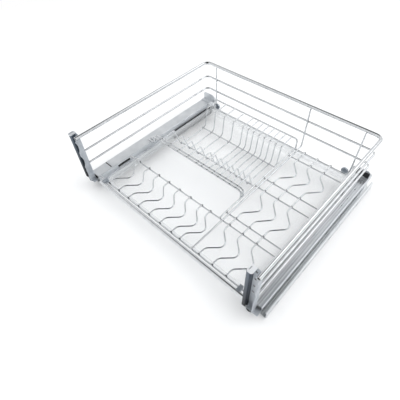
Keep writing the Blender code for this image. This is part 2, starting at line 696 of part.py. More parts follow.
def drip_tray():
    """A shallow moulding: rim, sloping wall and a floor with a raised middle."""
    low = Vector((-TRAY_REACH, FRONT_Y + TRAY_FRONT_Y))
    high = Vector((TRAY_REACH, BACK_Y - TRAY_SETBACK))
    top = LEDGE_Z + CLEARANCE + TRAY_SHEET
    floor = TRAY_FLOOR_Z + TRAY_SHEET
    inset = Vector((1, 1))
    levels = ((0, top), (TRAY_RIM, top), (TRAY_RIM + TRAY_DRAFT, floor),
              (TRAY_RIM + TRAY_DRAFT + TRAY_PANEL_MARGIN, floor),
              (TRAY_RIM + TRAY_DRAFT + TRAY_PANEL_MARGIN + TRAY_PANEL_STEP,
               floor + TRAY_PANEL_DEPTH))
    shape = bmesh.new()
    rings = [rounded_ring(shape, low + inset * step, high - inset * step, z,
                          max(TRAY_CORNER - step / 2, TRAY_CORNER / 3)) for step, z in levels]
    for outer, inner in zip(rings, rings[1:]):
        count = len(outer)
        for index in range(count):
            after = (index + 1) % count
            shape.faces.new((outer[index], outer[after], inner[after], inner[index]))
    shape.faces.new(rings[-1])
    bmesh.ops.recalc_face_normals(shape, faces=shape.faces)
    mesh = bpy.data.meshes.new("drip_tray")
    shape.to_mesh(mesh)
    shape.free()
    tray = place(bpy.data.objects.new("drip_tray", mesh), "tray_plastic")
    sheet = tray.modifiers.new("sheet", "SOLIDIFY")
    sheet.thickness = TRAY_SHEET
    sheet.offset = -1
    sheet.use_even_offset = True
    if mesh.polygons[-1].normal.z < 0:
        sheet.offset = 1


# The side channels that cover the slides

def side_channel(name, side, deep):
    """A folded strip: outer flange, top, inner flange, and the ledge under the tray."""
    half = CHANNEL_SHEET / 2
    top = CHANNEL_TOP_Z - half
    ledge = LEDGE_Z - half
    outline = sheet_outline([
        (CHANNEL_OUT - half, CHANNEL_TOP_Z - CHANNEL_OUTER_DEPTH), (CHANNEL_OUT - half, top),
        (-CHANNEL_IN + half, top), (-CHANNEL_IN + half, ledge),
        (-CHANNEL_IN - CHANNEL_LEDGE, ledge)], CHANNEL_SHEET, CHANNEL_BEND)
    x = side * RAIL_SPAN / 2
    channel = section(name, mirrored(outline, side), CHANNEL_START, CHANNEL_LENGTH, "white_steel")
    channel.location.x = x
    channel = to_mesh(channel)
    flange_x = x - side * (CHANNEL_IN - half)
    middle_z = (top + LEDGE_Z) / 2
    window = block(name + "_window",
                   (flange_x - CHANNEL_SHEET, FRONT_Y + LOCK_WINDOW_START,
                    middle_z - LOCK_WINDOW_HEIGHT / 2),
                   (flange_x + CHANNEL_SHEET, FRONT_Y + LOCK_WINDOW_START + LOCK_WINDOW_LENGTH,
                    middle_z + LOCK_WINDOW_HEIGHT / 2), "white_steel", CUTTERS)
    own = left_seam() if side < 0 else right_openings()
    combine(channel, [window] + own + deep, "DIFFERENCE")


def top_cut(name, x, y, width, length):
    """A cutter through a channel's top, centred on a place."""
    return block(name, (x - width / 2, y - length / 2, CHANNEL_TOP_Z - CHANNEL_SHEET - OVERRUN),
                 (x + width / 2, y + length / 2, CHANNEL_TOP_Z + OVERRUN), "white_steel", CUTTERS)


def left_seam():
    """The slot across the left channel."""
    return [top_cut("seam", LEFT_X + SEAM_IN - SEAM_LENGTH / 2, FRONT_Y + SEAM_Y, SEAM_LENGTH,
                    SEAM_WIDTH)]


def right_openings():
    """The right channel's rolled grooves, its rear slots, a hole and a short slot."""
    cuts = [top_cut("mark", RIGHT_X - MARK_IN, FRONT_Y + MARK_Y, MARK_WIDTH, MARK_LENGTH),
            rod("hole", (RIGHT_X, FRONT_Y + CHANNEL_HOLE_Y, CHANNEL_TOP_Z), CHANNEL_HOLE,
                2 * (CHANNEL_SHEET + OVERRUN), "Z", "white_steel", 12, CUTTERS)]
    for number in range(GROOVE_COUNT):
        place_x = RIGHT_X - GROOVE_IN + GROOVE_PITCH * number
        lift = GROOVE_BAR / 2 - GROOVE_DEPTH
        cuts.append(rod(f"groove_{number}", (place_x, CHANNEL_START + CHANNEL_LENGTH / 2,
                                             CHANNEL_TOP_Z + lift), GROOVE_BAR,
                        CHANNEL_LENGTH + 2 * OVERRUN, "Y", "white_steel", 12, CUTTERS))
    for share in SLOT_SHARES:
        cuts.append(top_cut(f"slot_{share}", RIGHT_X - SLOT_IN,
                            CHANNEL_START + CHANNEL_LENGTH * share, SLOT_LENGTH, SLOT_WIDTH))
    slant = top_cut("slant", RIGHT_X - SLANT_IN, CHANNEL_START + CHANNEL_LENGTH * SLANT_SHARE,
                    SLANT_WIDTH, SLANT_LENGTH)
    slant.rotation_euler.z = SLANT_TURN
    return cuts + [slant]


def deep_openings(side):
    """Openings that go through a side channel and on through the member below it."""
    low = MOVING_TOP_Z - MEMBER_SHEET - OVERRUN
    high = CHANNEL_TOP_Z + OVERRUN
    if side < 0:
        y = FRONT_Y + SEAM_Y
        return [block("deep_seam", (LEFT_X - DEEP_SEAM_LENGTH / 2, y - SEAM_WIDTH / 2, low),
                      (LEFT_X + DEEP_SEAM_LENGTH / 2, y + SEAM_WIDTH / 2, high), "white_steel",
                      CUTTERS)]
    return [rod(f"deep_hole_{share}",
                (RIGHT_X + SIDE_HOLE_OUT, CHANNEL_START + CHANNEL_LENGTH * share, (low + high) / 2),
                SIDE_HOLE, high - low, "Z", "white_steel", 12, CUTTERS) for share in SLOT_SHARES]


def tray_strip(name, side):
    """A buffer strip on the ledge, between the channel's flange and the tray's rim."""
    near = side * (RAIL_SPAN / 2 - STRIP_IN)
    far = near - side * STRIP_WIDTH
    base = LEDGE_Z + CLEARANCE
    block(name, (min(near, far), FRONT_Y + STRIP_START, base),
          (max(near, far), FRONT_Y + STRIP_START + STRIP_LENGTH, base + STRIP_HEIGHT),
          "black_plastic")


# The three-part slides

def channel_outline(base, height, way):
    """A channel with lips, from its base plate up or down."""
    half = MEMBER_SHEET / 2
    floor = base + way * half
    lips = base + way * (height - half)
    edge = MEMBER_HALF - MEMBER_LIP
    wall = MEMBER_HALF - half
    return [(edge, lips), (wall, lips), (wall, floor), (-wall, floor), (-wall, lips), (-edge, lips)]


def fixed_member(name, side):
    """The cabinet member: a channel on a base strip that turns up into an outer wall."""
    x = side * RAIL_SPAN / 2
    half = MEMBER_SHEET / 2
    channel = section(name, sheet_outline(channel_outline(0, FIXED_HEIGHT, 1), MEMBER_SHEET,
                                          MEMBER_BEND), SLIDE_Y, SLIDE_LENGTH, "slide_steel")
    channel.location.x = x
    channel = to_mesh(channel)
    wall_x = SLIDE_OUTER_REACH - half
    wall = sheet_outline([
        (MEMBER_HALF - 3 * MEMBER_SHEET, half), (wall_x, half),
        (wall_x, FIXED_WALL_HEIGHT - half),
        (wall_x - FIXED_WALL_LIP, FIXED_WALL_HEIGHT - half)], MEMBER_SHEET, MEMBER_BEND)
    strip = section(name + "_wall", mirrored(wall, side), SLIDE_Y, SLIDE_LENGTH, "slide_steel",
                    CUTTERS)
    strip.location.x = x
    strip = to_mesh(strip)
    combine(channel, [strip], "UNION")
    cuts = []
    for share in FIXING_SHARES:
        y = SLIDE_Y + SLIDE_LENGTH * share
        cuts.append(block(f"{name}_slot_{share}",
                          (x + side * wall_x - MEMBER_SHEET, y - FIXING_SLOT_LENGTH / 2,
                           FIXED_WALL_HEIGHT / 2 - FIXING_HOLE / 2),
                          (x + side * wall_x + MEMBER_SHEET, y + FIXING_SLOT_LENGTH / 2,
                           FIXED_WALL_HEIGHT / 2 + FIXING_HOLE / 2), "slide_steel", CUTTERS))
    combine(channel, cuts, "DIFFERENCE")


def moving_member(name, side, deep):
    """The basket's member: a channel that opens downward under the side channel."""
    outline = sheet_outline(channel_outline(MOVING_TOP_Z, MOVING_HEIGHT, -1), MEMBER_SHEET,
                            MEMBER_BEND)
    made = section(name, outline, SLIDE_Y + MOVING_SHORTER / 2, SLIDE_LENGTH - MOVING_SHORTER,
                   "slide_steel")
    made.location.x = side * RAIL_SPAN / 2
    combine(to_mesh(made), deep, "DIFFERENCE")


def middle_beam(name, side):
    """The beam between them: two hollow-looking heads on one web."""
    low = MEMBER_SHEET + BEAM_FLOOR_GAP
    high = MOVING_TOP_Z - MEMBER_SHEET - BEAM_FLOOR_GAP
    right = [(BEAM_HEAD_HALF, low), (BEAM_HEAD_HALF, low + BEAM_HEAD_HEIGHT),
             (BEAM_WEB_HALF, low + BEAM_HEAD_HEIGHT), (BEAM_WEB_HALF, high - BEAM_HEAD_HEIGHT),
             (BEAM_HEAD_HALF, high - BEAM_HEAD_HEIGHT), (BEAM_HEAD_HALF, high)]
    outline = right + [(-x, z) for x, z in reversed(right)]
    made = section(name, outline, SLIDE_Y + BEAM_SETBACK, SLIDE_LENGTH - BEAM_SHORTER, "slide_steel")
    made.location.x = side * RAIL_SPAN / 2


def roller_cage(name, side, base, way, start):
    """A tray of rollers that runs between the beam's head and a member's walls."""
    x = side * RAIL_SPAN / 2
    half = CAGE_SHEET / 2
    floor = base + way * (MEMBER_SHEET + CAGE_GAP + half)
    wall = CAGE_HALF - half
    far = base + way * (MEMBER_SHEET + CAGE_GAP + CAGE_DEPTH)
    outline = sheet_outline([(wall, far), (wall, floor), (-wall, floor), (-wall, far)],
                            CAGE_SHEET, CAGE_SHEET)
    cage = section(name, outline, SLIDE_Y + start, CAGE_LENGTH, "cage_plastic")
    cage.location.x = x
    cage = to_mesh(cage)
    roller_z = (floor + way * half + far) / 2
    pitch = (CAGE_LENGTH - 2 * ROLLER_MARGIN) / (ROLLER_COUNT - 1)
    rollers = [rod(f"{name}_roller_{number}_{hand}",
                   (x + hand * ROLLER_X, SLIDE_Y + start + ROLLER_MARGIN + pitch * number,
                    roller_z), ROLLER, ROLLER_HEIGHT, "Z", "slide_steel", 8, CUTTERS)
               for number in range(ROLLER_COUNT) for hand in (-1, 1)]
    combine(cage, rollers, "UNION")


def slides():
    for hand, side in (("left", -1), ("right", 1)):
        deep = deep_openings(side)
        side_channel("side_channel_" + hand, side, deep)
        tray_strip("tray_strip_" + hand, side)
        fixed_member("fixed_member_" + hand, side)
        moving_member("moving_member_" + hand, side, deep)
        middle_beam("middle_beam_" + hand, side)
        roller_cage("lower_cage_" + hand, side, 0, 1, CAGE_START_LOW)
        roller_cage("upper_cage_" + hand, side, MOVING_TOP_Z, -1, CAGE_START_HIGH)
        lock(hand, side)
        damper(hand, side)


# The locks and soft-close housings

def lock(hand, side):
    """A housing beside the moving member with a squeeze lever on a pin."""
    middle = -side * (LOCK_IN_X + LOCK_OUT_X) / 2 + side * RAIL_SPAN / 2
    half = (LOCK_IN_X - LOCK_OUT_X) / 2
    low = LOCK_TOP_Z - LOCK_HEIGHT
    y = FRONT_Y + LEVER_PIVOT_Y
    name = "lock_housing_" + hand
    housing = block(name, (middle - half, FRONT_Y + LOCK_START_Y, low),
                    (middle + half, FRONT_Y + LOCK_START_Y + LOCK_LENGTH, LOCK_TOP_Z),
                    "black_plastic")
    slot_half = LEVER_THICK / 2 + LEVER_SIDE_GAP
    cuts = [block(name + "_slot", (middle - slot_half, y - LOCK_SLOT_LENGTH / 2, low - OVERRUN),
                  (middle + slot_half, y + LOCK_SLOT_LENGTH / 2, low + LOCK_SLOT_DEPTH),
                  "black_plastic", CUTTERS),
            rod(name + "_bore", (middle, y, LEVER_PIVOT_Z), PIVOT_PIN + 2 * PIVOT_CLEARANCE,
                2 * (half + OVERRUN), "X", "black_plastic", 16, CUTTERS)]
    combine(housing, cuts, "DIFFERENCE")
    lever("release_lever_" + hand, middle, y, half)


def lever(name, x, y, housing_half):
    """The lever hangs from its pin and reaches forward to a grip."""
    arm_top = -LEVER_DROP
    arm_low = arm_top - LEVER_ARM
    grip = arm_low - LEVER_GRIP_DROP
    outline = [(LEVER_HEAD_HALF, LEVER_HEAD_HALF), (-LEVER_HEAD_HALF, LEVER_HEAD_HALF),
               (-LEVER_HEAD_HALF, arm_top), (-LEVER_LENGTH, arm_top),
               (-LEVER_LENGTH - LEVER_GRIP_DROP, grip), (-LEVER_LENGTH + LEVER_GRIP, grip),
               (-LEVER_LENGTH + LEVER_GRIP + LEVER_ARM, arm_low), (LEVER_HEAD_HALF, arm_low)]
    arm = section(name, outline, 0, LEVER_THICK, "black_plastic")
    arm.location = (x, y, LEVER_PIVOT_Z)
    arm.rotation_euler = (math.pi / 2, 0, math.pi / 2)
    arm = to_mesh(arm)
    pin = rod(name + "_pin", (x, y, LEVER_PIVOT_Z), PIVOT_PIN, 2 * housing_half,
              "X", "black_plastic", 12, CUTTERS)
    combine(arm, [pin], "UNION")


def damper(hand, side):
    """The soft-close housing on the inner side of the fixed member."""
    near = side * (RAIL_SPAN / 2 - MEMBER_HALF - CLEARANCE)
    far = near - side * DAMPER_WIDTH
    back = SLIDE_Y + SLIDE_LENGTH - DAMPER_BACK_GAP
    made = block("damper_housing_" + hand, (min(near, far), back - DAMPER_LENGTH, 0),
                 (max(near, far), back, DAMPER_HEIGHT),
                 "black_plastic")
    bevel = made.modifiers.new("edges", "BEVEL")
    bevel.width = DAMPER_BEVEL
    bevel.segments = 2
    bevel.limit_method = "ANGLE"


# The front brackets, the same way round on both sides

def front_bracket(hand, side):
    """A folded channel open to the front, on a foot plate that joins the side channel."""
    name = "front_bracket_" + hand
    x = side * RAIL_SPAN / 2
    half = BRACKET_SHEET / 2
    outline = sheet_outline([
        (-BRACKET_LIP_X, -BRACKET_LIP_Y), (-BRACKET_WEB_X, -BRACKET_LIP_Y),
        (-BRACKET_WEB_X, -BRACKET_BACK_Y), (BRACKET_WALL_X, -BRACKET_BACK_Y),
        (BRACKET_WALL_X, -BRACKET_REACH)], BRACKET_SHEET, BRACKET_BEND)
    base = FOOT_Z + half
    bracket = upright_sheet(name, outline, base, BRACKET_TOP_Z - base, "zinc_plate")
    bracket.location.x = x
    bracket.location.y = FRONT_Y
    bracket = to_mesh(bracket)
    foot = block(name + "_foot", (x - FOOT_LEFT, FRONT_Y - FOOT_FRONT, FOOT_Z),
                 (x + FOOT_RIGHT, FRONT_Y - BRACKET_BACK_Y + half, FOOT_Z + BRACKET_SHEET),
                 "zinc_plate", CUTTERS)
    combine(bracket, [foot], "UNION")
    holes = [rod(f"{name}_hole_{share}",
                 (x - BRACKET_HOLE_X, FRONT_Y - BRACKET_BACK_Y, BRACKET_TOP_Z * share),
                 BRACKET_HOLE, 2 * (BRACKET_SHEET + OVERRUN), "Y", "zinc_plate", 12, CUTTERS)
             for share in BRACKET_HOLE_SHARES]
    combine(bracket, holes + wall_cuts(name, x), "DIFFERENCE")
    bracket_cap("bracket_cap_" + hand, x)


def wall_cuts(name, x):
    """The seat of the top rail, and the hollows and the corner cut from the right wall."""
    wall_x = x + BRACKET_WALL_X
    edge = FRONT_Y - BRACKET_REACH
    beside = RAIL_TUBE / 2 + CLEARANCE
    seat = TOP_RAIL_Z - beside
    cuts = [block(name + "_seat", (x - beside, edge - OVERRUN, seat),
                  (wall_x + BRACKET_SHEET, FRONT_Y, BRACKET_TOP_Z + OVERRUN),
                  "zinc_plate", CUTTERS),
            block(name + "_corner",
                  (wall_x - BRACKET_SHEET, edge - WALL_CORNER / 2, seat - WALL_CORNER / 2),
                  (wall_x + BRACKET_SHEET, edge + WALL_CORNER / 2, seat + WALL_CORNER / 2),
                  "zinc_plate", CUTTERS)]
    cuts[1].rotation_euler.x = math.radians(45)
    for share in WALL_WAVE_SHARES:
        cuts.append(rod(f"{name}_wave_{share}",
                        (wall_x, edge + WALL_WAVE_DEPTH - WALL_WAVE / 2, BRACKET_TOP_Z * share),
                        WALL_WAVE, 2 * BRACKET_SHEET, "X", "zinc_plate", 48, CUTTERS))
    return cuts


def bracket_cap(name, x):
    """A plate on the bracket's left half, its corners cut, with one slot."""
    left, right = x - BRACKET_LIP_X, x - CAP_IN_X
    front, back = FRONT_Y - BRACKET_REACH, FRONT_Y - BRACKET_BACK_Y + BRACKET_SHEET / 2
    base = BRACKET_TOP_Z + CLEARANCE
    cap = upright_sheet(name, [
        (left, back), (left, front + CAP_CORNER), (left + CAP_CORNER, front),
        (right - CAP_CORNER, front), (right, front + CAP_CORNER), (right, back)],
        base, CAP_SHEET, "white_steel")
    slot_x = left + CAP_SLOT_EDGE
    slot_y = (front + back) / 2
    slot = block(name + "_slot",
                 (slot_x - CAP_SLOT_WIDTH / 2, slot_y - CAP_SLOT_LENGTH / 2, base - OVERRUN),
                 (slot_x + CAP_SLOT_WIDTH / 2, slot_y + CAP_SLOT_LENGTH / 2,
                  base + CAP_SHEET + OVERRUN), "white_steel", CUTTERS)
    combine(to_mesh(cap), [slot], "DIFFERENCE")


# The rear plates and their catches

def rear_plate(hand, side):
    """An angle plate: a foot on the side channel and a face in front of the back rails."""
    name = "rear_plate_" + hand
    x = side * RAIL_SPAN / 2
    half = PLATE_SHEET / 2
    foot_z = CHANNEL_TOP_Z + CLEARANCE
    top = foot_z + PLATE_HEIGHT
    y = BACK_Y - PLATE_SETBACK
    face = section(name, mirrored([
        (PLATE_OUT, foot_z), (PLATE_OUT, top - PLATE_CORNER), (PLATE_OUT - PLATE_CORNER, top),
        (-PLATE_IN + PLATE_CORNER, top), (-PLATE_IN, top - PLATE_CORNER), (-PLATE_IN, foot_z)],
        side), y - half, PLATE_SHEET, "white_steel")
    face.location.x = x
    face = to_mesh(face)
    ends = sorted((x - side * CHANNEL_IN, x + side * PLATE_OUT))
    foot = block(name + "_foot", (ends[0], y - PLATE_FOOT, foot_z),
                 (ends[1], y, foot_z + PLATE_SHEET), "white_steel", CUTTERS)
    combine(face, [foot], "UNION")


def rear_catch():
    """A moulded catch across the right plate: two thick pads with a bore, joined by a web."""
    base = CHANNEL_TOP_Z + CLEARANCE + CATCH_RISE
    back = BACK_Y - PLATE_SETBACK - PLATE_SHEET / 2 - CLEARANCE
    left, right = RIGHT_X - CATCH_IN, RIGHT_X + CATCH_OUT
    catch = block("rear_catch", (left, back - CATCH_SHEET, base),
                  (right, back, base + CATCH_HEIGHT), "black_plastic")
    pads = ((left, left + CATCH_PAD_IN), (right - CATCH_PAD_OUT, right))
    joined = [block(f"rear_catch_pad_{number}", (near, back - CATCH_PAD_DEPTH, base),
                    (far, back, base + CATCH_HEIGHT), "black_plastic", CUTTERS)
              for number, (near, far) in enumerate(pads)]
    combine(catch, joined, "UNION")
    bores = [rod(f"rear_catch_bore_{number}", ((near + far) / 2, back - CATCH_PAD_DEPTH,
                                               base + CATCH_HEIGHT / 2),
                 CATCH_BORE, CATCH_PAD_DEPTH, "Y", "black_plastic", 12, CUTTERS)
             for number, (near, far) in enumerate(pads)]
    combine(catch, bores, "DIFFERENCE")


def rear_knob(name, x, side):
    """A slotted disc beside an outer upright's foot, facing forward."""
    centre_x = x - side * (UPRIGHT_WIRE / 2 + CLEARANCE + KNOB / 2)
    y = BACK_Y - KNOB_SETBACK
    knob = rod(name, (centre_x, y, KNOB_Z), KNOB, KNOB_LENGTH, "Y", "zinc_plate", 24)
    front = y - KNOB_LENGTH / 2
    slot = block(name + "_slot",
                 (centre_x - KNOB_SLOT_WIDTH / 2, front - OVERRUN, KNOB_Z - KNOB / 2 - OVERRUN),
                 (centre_x + KNOB_SLOT_WIDTH / 2, front + KNOB_SLOT_DEPTH,
                  KNOB_Z + KNOB / 2 + OVERRUN), "zinc_plate", CUTTERS)
    combine(knob, [slot], "DIFFERENCE")


rails()
back_uprights()
base_wires()
plate_wires()
front_bar()
front_clip("front_clip_left", LEFT_X + BOWL_FIRST_X - CLIP_MARGIN)
front_clip("front_clip_right", RIGHT_X - CLIP_RIGHT_X)
plate_insert()
drip_tray()
slides()
for bracket_hand, bracket_side in (("left", -1), ("right", 1)):
    front_bracket(bracket_hand, bracket_side)
    rear_plate(bracket_hand, bracket_side)
    rear_knob("rear_knob_" + bracket_hand, UPRIGHT_X[bracket_hand], bracket_side)
rear_catch()
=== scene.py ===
# %% [markdown]
# # A pull-out dish rack in Blender
# The rack is a chrome wire basket for a kitchen base cabinet. It rides on two concealed slides, has
# rows of bowed plate wires, a plate insert that lifts out, and a clear tray that catches the drips.
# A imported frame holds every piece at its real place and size. This lesson dresses that frame: it
# makes the wires truly round, moulds the tray, adds welds and small fasteners, and gives each piece
# its finish.

# %% Load the frame
import json
import math

import bmesh
import bpy
from mathutils import Matrix, Vector


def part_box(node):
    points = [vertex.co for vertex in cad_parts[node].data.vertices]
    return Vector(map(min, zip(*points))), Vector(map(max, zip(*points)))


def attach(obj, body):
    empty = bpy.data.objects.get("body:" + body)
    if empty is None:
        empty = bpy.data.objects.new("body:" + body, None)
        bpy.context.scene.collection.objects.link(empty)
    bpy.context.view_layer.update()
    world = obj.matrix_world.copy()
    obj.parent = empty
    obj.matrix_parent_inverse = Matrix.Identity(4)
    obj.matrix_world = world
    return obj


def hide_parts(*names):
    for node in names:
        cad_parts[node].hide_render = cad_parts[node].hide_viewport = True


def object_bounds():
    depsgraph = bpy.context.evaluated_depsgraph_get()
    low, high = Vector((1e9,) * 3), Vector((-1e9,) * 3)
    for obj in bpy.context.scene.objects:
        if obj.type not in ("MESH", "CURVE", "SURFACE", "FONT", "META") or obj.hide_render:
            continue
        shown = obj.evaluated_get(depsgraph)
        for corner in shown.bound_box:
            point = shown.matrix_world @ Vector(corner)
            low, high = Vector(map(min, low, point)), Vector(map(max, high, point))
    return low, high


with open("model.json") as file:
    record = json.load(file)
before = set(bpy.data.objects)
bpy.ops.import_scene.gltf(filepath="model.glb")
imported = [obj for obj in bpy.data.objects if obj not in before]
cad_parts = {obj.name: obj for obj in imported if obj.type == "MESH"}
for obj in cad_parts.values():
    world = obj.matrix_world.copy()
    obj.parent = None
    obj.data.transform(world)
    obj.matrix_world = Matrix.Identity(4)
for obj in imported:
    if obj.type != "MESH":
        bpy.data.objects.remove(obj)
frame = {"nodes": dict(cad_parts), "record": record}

CAD_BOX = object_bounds()
RACK_SIZE = CAD_BOX[1] - CAD_BOX[0]
print("rack box in mm:", [round(1000 * side, 1) for side in RACK_SIZE])

# %% [markdown]
# ## Colours and nodes
# A colour picked from a screen is sRGB, and a shader wants linear light, so one function converts
# hex values. Another adds a node with its settings and its links, which keeps each material and
# each geometry tree down to the few lines that say what it is.

# %% Colour and node helpers
def linear(code):
    """An sRGB hex colour as linear RGBA."""
    parts = [int(code[place:place + 2], 16) / 255 for place in (1, 3, 5)]
    return tuple(part / 12.92 if part <= 0.04045 else ((part + 0.055) / 1.055) ** 2.4
                 for part in parts) + (1.0,)


def add_node(tree, kind, settings=None, sockets=None, links=None):
    """A node with its properties, its socket values and the outputs linked to its inputs."""
    node = tree.nodes.new(kind)
    for name, value in (settings or {}).items():
        setattr(node, name, value)
    for name, value in (sockets or {}).items():
        node.inputs[name].default_value = value
    for name, output in (links or {}).items():
        tree.links.new(output, node.inputs[name])
    return node


def new_material(name, **sockets):
    """A material with one Principled shader; returns it with its tree and shader."""
    material = bpy.data.materials.new(name)
    material.use_nodes = True
    shader = material.node_tree.nodes["Principled BSDF"]
    for socket, value in sockets.items():
        shader.inputs[socket.replace("_", " ")].default_value = value
    return material, material.node_tree, shader


def object_noise(tree, size, stretch=(1.0, 1.0, 1.0), detail=3.0):
    """Noise whose grains are size metres across, drawn out along the given axes."""
    place = add_node(tree, "ShaderNodeTexCoord")
    mapped = add_node(tree, "ShaderNodeMapping", {}, {"Scale": Vector(stretch) / size},
                      {"Vector": place.outputs["Object"]})
    return add_node(tree, "ShaderNodeTexNoise", {}, {"Scale": 1.0, "Detail": detail},
                    {"Vector": mapped.outputs["Vector"]})


def ramp(tree, value, stops):
    """A colour ramp over a value; the stops are (place, hex colour)."""
    made = add_node(tree, "ShaderNodeValToRGB", {}, {}, {"Fac": value})
    points = made.color_ramp.elements
    while len(points) < len(stops):
        points.new(0.5)
    for point, (place, colour) in zip(points, stops):
        point.position = place
        point.color = linear(colour)
    return made.outputs["Color"]


def spread(tree, value, low, high):
    """A value between 0 and 1 stretched to run from low to high."""
    return add_node(tree, "ShaderNodeMapRange", {}, {"To Min": low, "To Max": high},
                    {"Value": value}).outputs["Result"]


def coloured(tree, shader, tone, gloss, colours, roughness, edge=0.3):
    """One noise drives the colour from dark to light, and one the roughness."""
    colour = ramp(tree, tone.outputs["Fac"], ((edge, colours[0]), (1 - edge, colours[1])))
    tree.links.new(colour, shader.inputs["Base Color"])
    tree.links.new(spread(tree, gloss.outputs["Fac"], *roughness), shader.inputs["Roughness"])


def object_place(tree):
    """The X, Y and Z of a point on the piece, as separate outputs."""
    place = add_node(tree, "ShaderNodeTexCoord")
    return add_node(tree, "ShaderNodeSeparateXYZ", {}, {}, {"Vector": place.outputs["Object"]})


def bumped(tree, shader, height, depth, strength):
    """Small relief of that real depth on the shader's surface."""
    bump = add_node(tree, "ShaderNodeBump", {}, {"Distance": depth, "Strength": strength},
                    {"Height": height})
    tree.links.new(bump.outputs["Normal"], shader.inputs["Normal"])


# %% [markdown]
# ## Bright chrome
# The wires are mild steel, bent and spot welded, then polished and plated with nickel and chrome.
# Chrome is nearly a mirror, a little blue and a little darker than silver. The plating follows the
# drawn wire's faint waves, so its reflections are a little sharper in one place than in the next.
# A weld is scorched and pitted, and the plating stays thin and dull there, so the beads are dark.

# %% Chrome material
CHROME_GRAIN = 0.006       # length of the faint waves left by drawing the wire
WELD_GRAIN = 0.0015        # pits in the plating on a weld


def chrome_plating(name, grain, colours, roughness):
    """Plated wire: long waves of tone and gloss over a mirror."""
    material, tree, shader = new_material(name, Metallic=1.0)
    wave = object_noise(tree, grain, detail=2.0)
    coloured(tree, shader, wave, wave, colours, roughness)
    return material


CHROME = chrome_plating("chrome_plated_steel_wire", CHROME_GRAIN, ("#D4D7DA", "#E6E8EA"),
                        (0.05, 0.12))
WELD_CHROME = chrome_plating("dull_chrome_on_welds", WELD_GRAIN, ("#1B1D1F", "#35383B"),
                             (0.30, 0.45))
print("chrome:", CHROME.name, "and", WELD_CHROME.name)

# %% [markdown]
# ## Sheet steel
# Several sheet finishes meet at the sides of the rack. The front brackets are zinc plated with a
# cool grey passivation, and the shade in the deep fold at the left of each is painted into the
# colour, darker toward its foot. The left channel is a paler, brighter zinc. The right one's ribs
# are light and dark lines painted into its colour, painted shade over a faint relief, and the right
# bracket's cap is painted paler still, as painted light. The slides are rolled from strip, so their
# surface has long faint lines that run the way they travel.

# %% Sheet steel materials
ZINC_GRAIN = 0.0012        # crystals of the plating, drawn as coarse as they need to show
ZINC_CLOUD = 0.030         # slow changes of tone over a sheet
ZINC_RELIEF = (0.00004, 0.25)   # depth and strength
STRIP_LINE = 0.0009        # width of the rolling lines
RIB_SHADE_LINE = 0.0024          # and of the painted light and dark lines of the right channel's ribs
STRIP_RELIEF = (0.00003, 0.2)
STRIP_STRETCH = (1.0, 0.01, 1.0)   # a line is a hundred times as long as it is wide
FOLD_SHADE_IN = 0.0077           # from a bracket's left edge to the end of its painted fold shade
FOLD_SHADE_HEIGHTS = (0.030, 0.150)   # where the painted fold shade is darkest and lightest
# The colours of the painted shade in the fold, from its foot up.
FOLD_SHADE_COLOURS = ("#15181C", "#5E6873")


def zinc_sheet(name, colours, roughness, metallic):
    """Plated sheet: clouds of tone, and a fine grain in the gloss and the relief."""
    material, tree, shader = new_material(name, Metallic=metallic)
    cloud = object_noise(tree, ZINC_CLOUD)
    grain = object_noise(tree, ZINC_GRAIN, detail=1.0)
    coloured(tree, shader, cloud, grain, colours, roughness)
    bumped(tree, shader, grain.outputs["Fac"], *ZINC_RELIEF)
    return material


def rolled_strip(name, colours, roughness, line):
    """Cold rolled strip: lines drawn out along Y, the way the slides run."""
    material, tree, shader = new_material(name, Metallic=1.0)
    lines = object_noise(tree, line, stretch=STRIP_STRETCH, detail=2.0)
    coloured(tree, shader, lines, lines, colours, roughness)
    bumped(tree, shader, lines.outputs["Fac"], *STRIP_RELIEF)
    return material


def shaded_bracket_plate(hand):
    """Bracket plate with painted shade in its deep left fold, darker toward its foot."""
    material = zinc_sheet("bracket_zinc_painted_fold_shade_" + hand, ("#AEB4BB", "#C9CDD2"), (0.34, 0.46), 0.6)
    tree = material.node_tree
    colour_socket = tree.nodes["Principled BSDF"].inputs["Base Color"]
    # Painted shade: left of fold_x the plate takes a dark colour, darkest at the foot, where the
    # fold lies in shadow.
    place = object_place(tree)
    height = add_node(tree, "ShaderNodeMapRange", {},
                      {"From Min": FOLD_SHADE_HEIGHTS[0], "From Max": FOLD_SHADE_HEIGHTS[1]},
                      {"Value": place.outputs["Z"]})
    fold_shade = ramp(tree, height.outputs["Result"], ((0.0, FOLD_SHADE_COLOURS[0]), (1.0, FOLD_SHADE_COLOURS[1])))
    fold_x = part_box("front_bracket_" + hand)[0].x + FOLD_SHADE_IN
    in_fold_shade = add_node(tree, "ShaderNodeMath", {"operation": "LESS_THAN"}, {1: fold_x},
                      {0: place.outputs["X"]})
    # In a colour mix, sockets 6 and 7 are the two colours, and output 2 is the mixed one.
    mixed = add_node(tree, "ShaderNodeMix", {"data_type": "RGBA"}, {},
                     {0: in_fold_shade.outputs["Value"], 6: colour_socket.links[0].from_socket, 7: fold_shade})
    tree.links.new(mixed.outputs[2], colour_socket)
    return material


BLUE_ZINC = zinc_sheet("blue_passivated_zinc", ("#9BA3AC", "#BAC0C7"), (0.30, 0.42), 0.85)
PALE_ZINC = zinc_sheet("bright_zinc_channel", ("#CDD1D5", "#E0E3E6"), (0.30, 0.42), 0.75)
# Painted light: the right bracket's cap takes a paler copy of the zinc, for the light that falls on
# it.
CAP_ZINC_PAINTED_LIGHT = zinc_sheet("cap_zinc_painted_light", ("#E4E6E9", "#F2F3F5"), (0.30, 0.42), 0.3)
SCREW_STEEL = zinc_sheet("bright_screw_zinc", ("#D6D9DC", "#ECEEF0"), (0.20, 0.30), 0.9)
